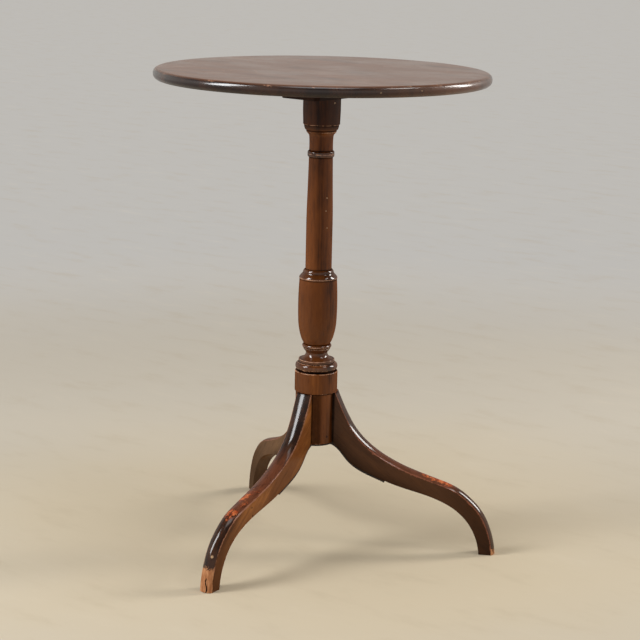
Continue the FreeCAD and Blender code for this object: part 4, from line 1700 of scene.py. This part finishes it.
@dataclass
class PedestalTable:
    """The whole table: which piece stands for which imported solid, and what each is finished with."""

    nodes: dict[str, bpy.types.Object]
    finishes: Finishes
    axis_y: float
    leg_turns: dict[str, float]

    def dress(self, piece: bpy.types.Object, material: bpy.types.Material, body: str, node: str) -> None:
        """Finishes a new piece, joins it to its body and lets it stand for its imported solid.

        Args:
            piece: The new piece.
            material: Its finish.
            body: The body that it moves with.
            node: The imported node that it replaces.
        """
        piece.data.materials.clear()
        piece.data.materials.append(material)
        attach(piece, body)
        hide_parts(node)
        LOG.info("%s stands for %s on %s, %d faces", piece.name, node, body, len(piece.data.polygons))

    def repaint(self, material: bpy.types.Material, *nodes: str) -> None:
        """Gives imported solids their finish.

        Args:
            material: The finish.
            *nodes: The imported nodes.
        """
        for node in nodes:
            for slot in self.nodes[node].material_slots:
                slot.material = material
            LOG.info("%s keeps its packed shape", node)

    def build(self) -> None:
        """Builds the sub-assemblies from the floor up."""
        looks = self.finishes
        # Each leg's wear, and in shaded how much painted shade darkens its low side.
        worn = {
            "leg_front": {"bare_toe": 30.0 * MM, "scuffs": (148.0 * MM, 246.0 * MM), "shaded": 0.15},
            "leg_right": {"bare_toe": 7.0 * MM, "scuffs": (152.0 * MM, 230.0 * MM)},
            "leg_left": {"bare_toe": 6.0 * MM},
        }
        for node, azimuth in self.leg_turns.items():
            leg = SawnLeg(f"sawn_{node}", azimuth, self.axis_y, **worn[node]).build()
            self.dress(leg, looks.legs[node], "stand", node)
        column = TurnedColumn(self.axis_y, tuple(self.leg_turns.values())).build()
        self.dress(column, looks.column, "stand", "column")
        strap = softened_copy("brace_plate", "iron_strap", 0.5 * MM)
        self.dress(strap, looks.iron, "stand", "brace_plate")
        self.dress(softened_copy("tilt_block", "eased_block", 0.8 * MM), looks.block, "stand", "tilt_block")
        self.dress(RoundTop(self.axis_y).build(), looks.top, "top", "tabletop")
        for node in ("bearer_right", "bearer_left"):
            self.dress(softened_copy(node, f"eased_{node}", 0.9 * MM), looks.bearers, "top", node)
        self.repaint(looks.brass, "strike_plate", "catch_case", "catch_bolt", "catch_knob")
        self.repaint(looks.steel, "bearer_screws", "brace_screws", "catch_screws", "strike_screws", "catch_spring")
        self.repaint(looks.dowel, "pivot_dowels")
        self.repaint(looks.wedge, "tenon_wedge")


@dataclass(frozen=True)
class PhotoCamera:
    """The camera at the photograph's viewpoint, worked out from the rim, the column and the feet."""

    azimuth: float = 39.0
    distance: float = 2.7764
    height: float = 0.975
    pitch_down: float = 12.699
    yaw: float = 0.0825
    roll: float = 1.272
    lens: float = 106.21
    sensor: float = 36.0

    def build(self, axis_y: float) -> None:
        """Places the camera, which looks past the column's axis.

        Args:
            axis_y: Where the column's axis stands in Y.
        """
        turn = math.radians(self.azimuth)
        yaw, pitch, roll = (math.radians(value) for value in (self.yaw, self.pitch_down, self.roll))
        eye = Vector((self.distance * math.sin(turn), axis_y - self.distance * math.cos(turn), self.height))
        ahead = Vector((math.sin(yaw) * math.cos(pitch), math.cos(yaw) * math.cos(pitch), -math.sin(pitch)))
        ahead.rotate(Matrix.Rotation(turn, 3, "Z"))
        right = ahead.cross(Vector((0.0, 0.0, 1.0))).normalized()
        up = right.cross(ahead)
        rolled_right = math.cos(roll) * right + math.sin(roll) * up
        rolled_up = -math.sin(roll) * right + math.cos(roll) * up
        camera = bpy.data.cameras.new("photo_camera")
        camera.lens, camera.sensor_width, camera.sensor_fit = self.lens, self.sensor, "HORIZONTAL"
        holder = new_object("photo_camera", camera)
        facing = Matrix((rolled_right, rolled_up, -ahead)).transposed().to_4x4()
        facing.translation = eye
        holder.matrix_world = facing
        bpy.context.scene.camera = holder


@dataclass(frozen=True)
class Softbox:
    """A soft studio lamp that faces the table."""

    name: str
    azimuth: float
    distance: float
    height: float
    size: tuple[float, float]
    power: float
    colour: Triple = (1.0, 1.0, 1.0)
    aimed_at: Triple = (0.0, 0.0, 0.4)

    def build(self) -> None:
        """Hangs the lamp at its azimuth, counted from the front, -Y, towards +X."""
        turn = math.radians(self.azimuth)
        place = Vector((self.distance * math.sin(turn), -self.distance * math.cos(turn), self.height))
        lamp = bpy.data.lights.new(self.name, "AREA")
        lamp.shape, lamp.size, lamp.size_y = "RECTANGLE", *self.size
        lamp.energy, lamp.color = self.power, self.colour
        holder = new_object(self.name, lamp)
        holder.location = place
        holder.rotation_euler = (Vector(self.aimed_at) - place).to_track_quat("-Z", "Y").to_euler()


@dataclass(frozen=True)
class Studio:
    """A pale floor that turns grey with distance, a pale grey surround and soft lamps."""

    near: Shade = (203, 188, 162)
    middle: Shade = (198, 189, 174)
    far: Shade = (190, 187, 182)
    dark_patch: Shade = (178, 161, 134)
    pale_patch: Shade = (216, 204, 184)
    ceiling: Shade = (104, 103, 102)
    air: Shade = (149, 149, 147)
    radius: float = 30.0
    first_ring: float = 0.05
    rings: int = 24
    segments: int = 96
    thickness: float = 0.05

    def seen(self, sheet: NodeSheet) -> Socket:
        """One for a ray from the eye or from a glossy or clear surface, and zero for the light itself.

        Args:
            sheet: The sheet of the material or the world.

        Returns:
            The mask.
        """
        path = sheet.add("ShaderNodeLightPath").outputs
        return sheet.most(sheet.most(path["Is Camera Ray"], path["Is Glossy Ray"]), path["Is Transmission Ray"])

    def floor(self) -> None:
        """A level slab: the point on ring r at angle a is (r cos a, r sin a, 0), the rings closer near the middle.

        Far from the table, past its shadow, the floor is seen in its own even colour.
        """
        ring = np.append(np.geomspace(self.first_ring, self.radius, self.rings), self.radius)[:, None]
        level = np.append(np.zeros(self.rings), -self.thickness)[:, None]
        angle = around(self.segments)[None, :]
        points = np.stack([ring * np.cos(angle), ring * np.sin(angle), level * np.ones_like(angle)], axis=-1)
        disc = SurfaceGrid(points[::-1]).to_object("studio_floor")
        sheet = MaterialSheet.start("studio_floor_paint")
        length = sheet.add("ShaderNodeVectorMath", operation="LENGTH")
        sheet.link(sheet.place, length.inputs[0])
        away = length.outputs["Value"]
        distance = sheet.times_plus(sheet.noise(sheet.place, FLOOR_CLOUD), 0.5, sheet.maths("SUBTRACT", away, 0.25))
        paint = sheet.mix(sheet.spread(distance, 0.2, 1.0), linear(self.near), linear(self.middle))
        paint = sheet.mix(sheet.spread(distance, 1.0, 2.6), paint, linear(self.far))
        trowelled = sheet.noise(sheet.place, TROWEL_MARKS)
        paint = sheet.mix(sheet.spread(trowelled, 0.5, 0.75, 0.0, 0.22), paint, linear(self.dark_patch))
        paint = sheet.mix(sheet.spread(trowelled, 0.25, 0.45, 0.16, 0.0), paint, linear(self.pale_patch))
        sheet.shade({"Base Color": paint, "Roughness": 0.8, "Specular IOR Level": 0.1})
        even = sheet.add("ShaderNodeEmission")
        sheet.link(paint, even.inputs["Color"])
        both = sheet.add("ShaderNodeMixShader")
        share = sheet.times(sheet.spread(away, 0.7, 2.2), self.seen(sheet))
        for socket, value in zip(both.inputs, (share, sheet.shader.outputs[0], even.outputs[0])):
            sheet.link(value, socket)
        sheet.link(both.outputs[0], sheet.tree.nodes["Material Output"].inputs["Surface"])
        disc.data.materials.append(sheet.material)

    def surround(self) -> None:
        """Pale air near the horizon and a duller ceiling, and an even grey light."""
        world = bpy.data.worlds.new("studio_air")
        bpy.context.scene.world = world
        world.use_nodes = True
        sheet = NodeSheet(world.node_tree)
        background = world.node_tree.nodes["Background"]
        way = sheet.add("ShaderNodeSeparateXYZ")
        sheet.link(sheet.add("ShaderNodeTexCoord").outputs["Generated"], way.inputs[0])
        wall = sheet.mix(sheet.spread(way.outputs["Z"], 0.25, 0.75), linear(self.far), linear(self.ceiling))
        sheet.link(sheet.mix(self.seen(sheet), linear(self.air), wall), background.inputs["Color"])
        background.inputs["Strength"].default_value = 1.0

    def build(self) -> None:
        """Lays the floor and sets the surround and the lamps."""
        self.floor()
        self.surround()
        lamps = (
            Softbox("left_softbox", -33.0, 2.4, 2.05, (0.85, 1.8), 63.0, (0.97, 0.985, 1.0)),
            Softbox("right_softbox", 148.0, 2.8, 1.8, (0.7, 1.4), 48.0, (1.0, 0.98, 0.95)),
            Softbox("high_softbox", 112.0, 1.8, 2.9, (0.8, 0.5), 13.0, (1.0, 0.98, 0.95)),
            Softbox("overhead", 39.0, 0.5, 2.9, (1.2, 1.2), 11.0),
        )
        for lamp in lamps:
            lamp.build()
        bpy.context.scene.view_settings.view_transform = "Standard"


def main() -> None:
    """Builds the table over its frame, the studio and the camera."""
    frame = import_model()
    low, high = (np.array(corner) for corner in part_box("column"))
    axis_y = float(low[1] + high[1]) / 2
    leg_turns = {"leg_front": -84.0, "leg_right": 30.0, "leg_left": 150.0}
    PhotoCamera().build(axis_y)
    PedestalTable(frame["nodes"], Finishes.build(leg_turns), axis_y, leg_turns).build()
    Studio().build()


if __name__ == "__main__":
    logging.basicConfig(level=logging.INFO, format="%(name)s: %(message)s")
    main()
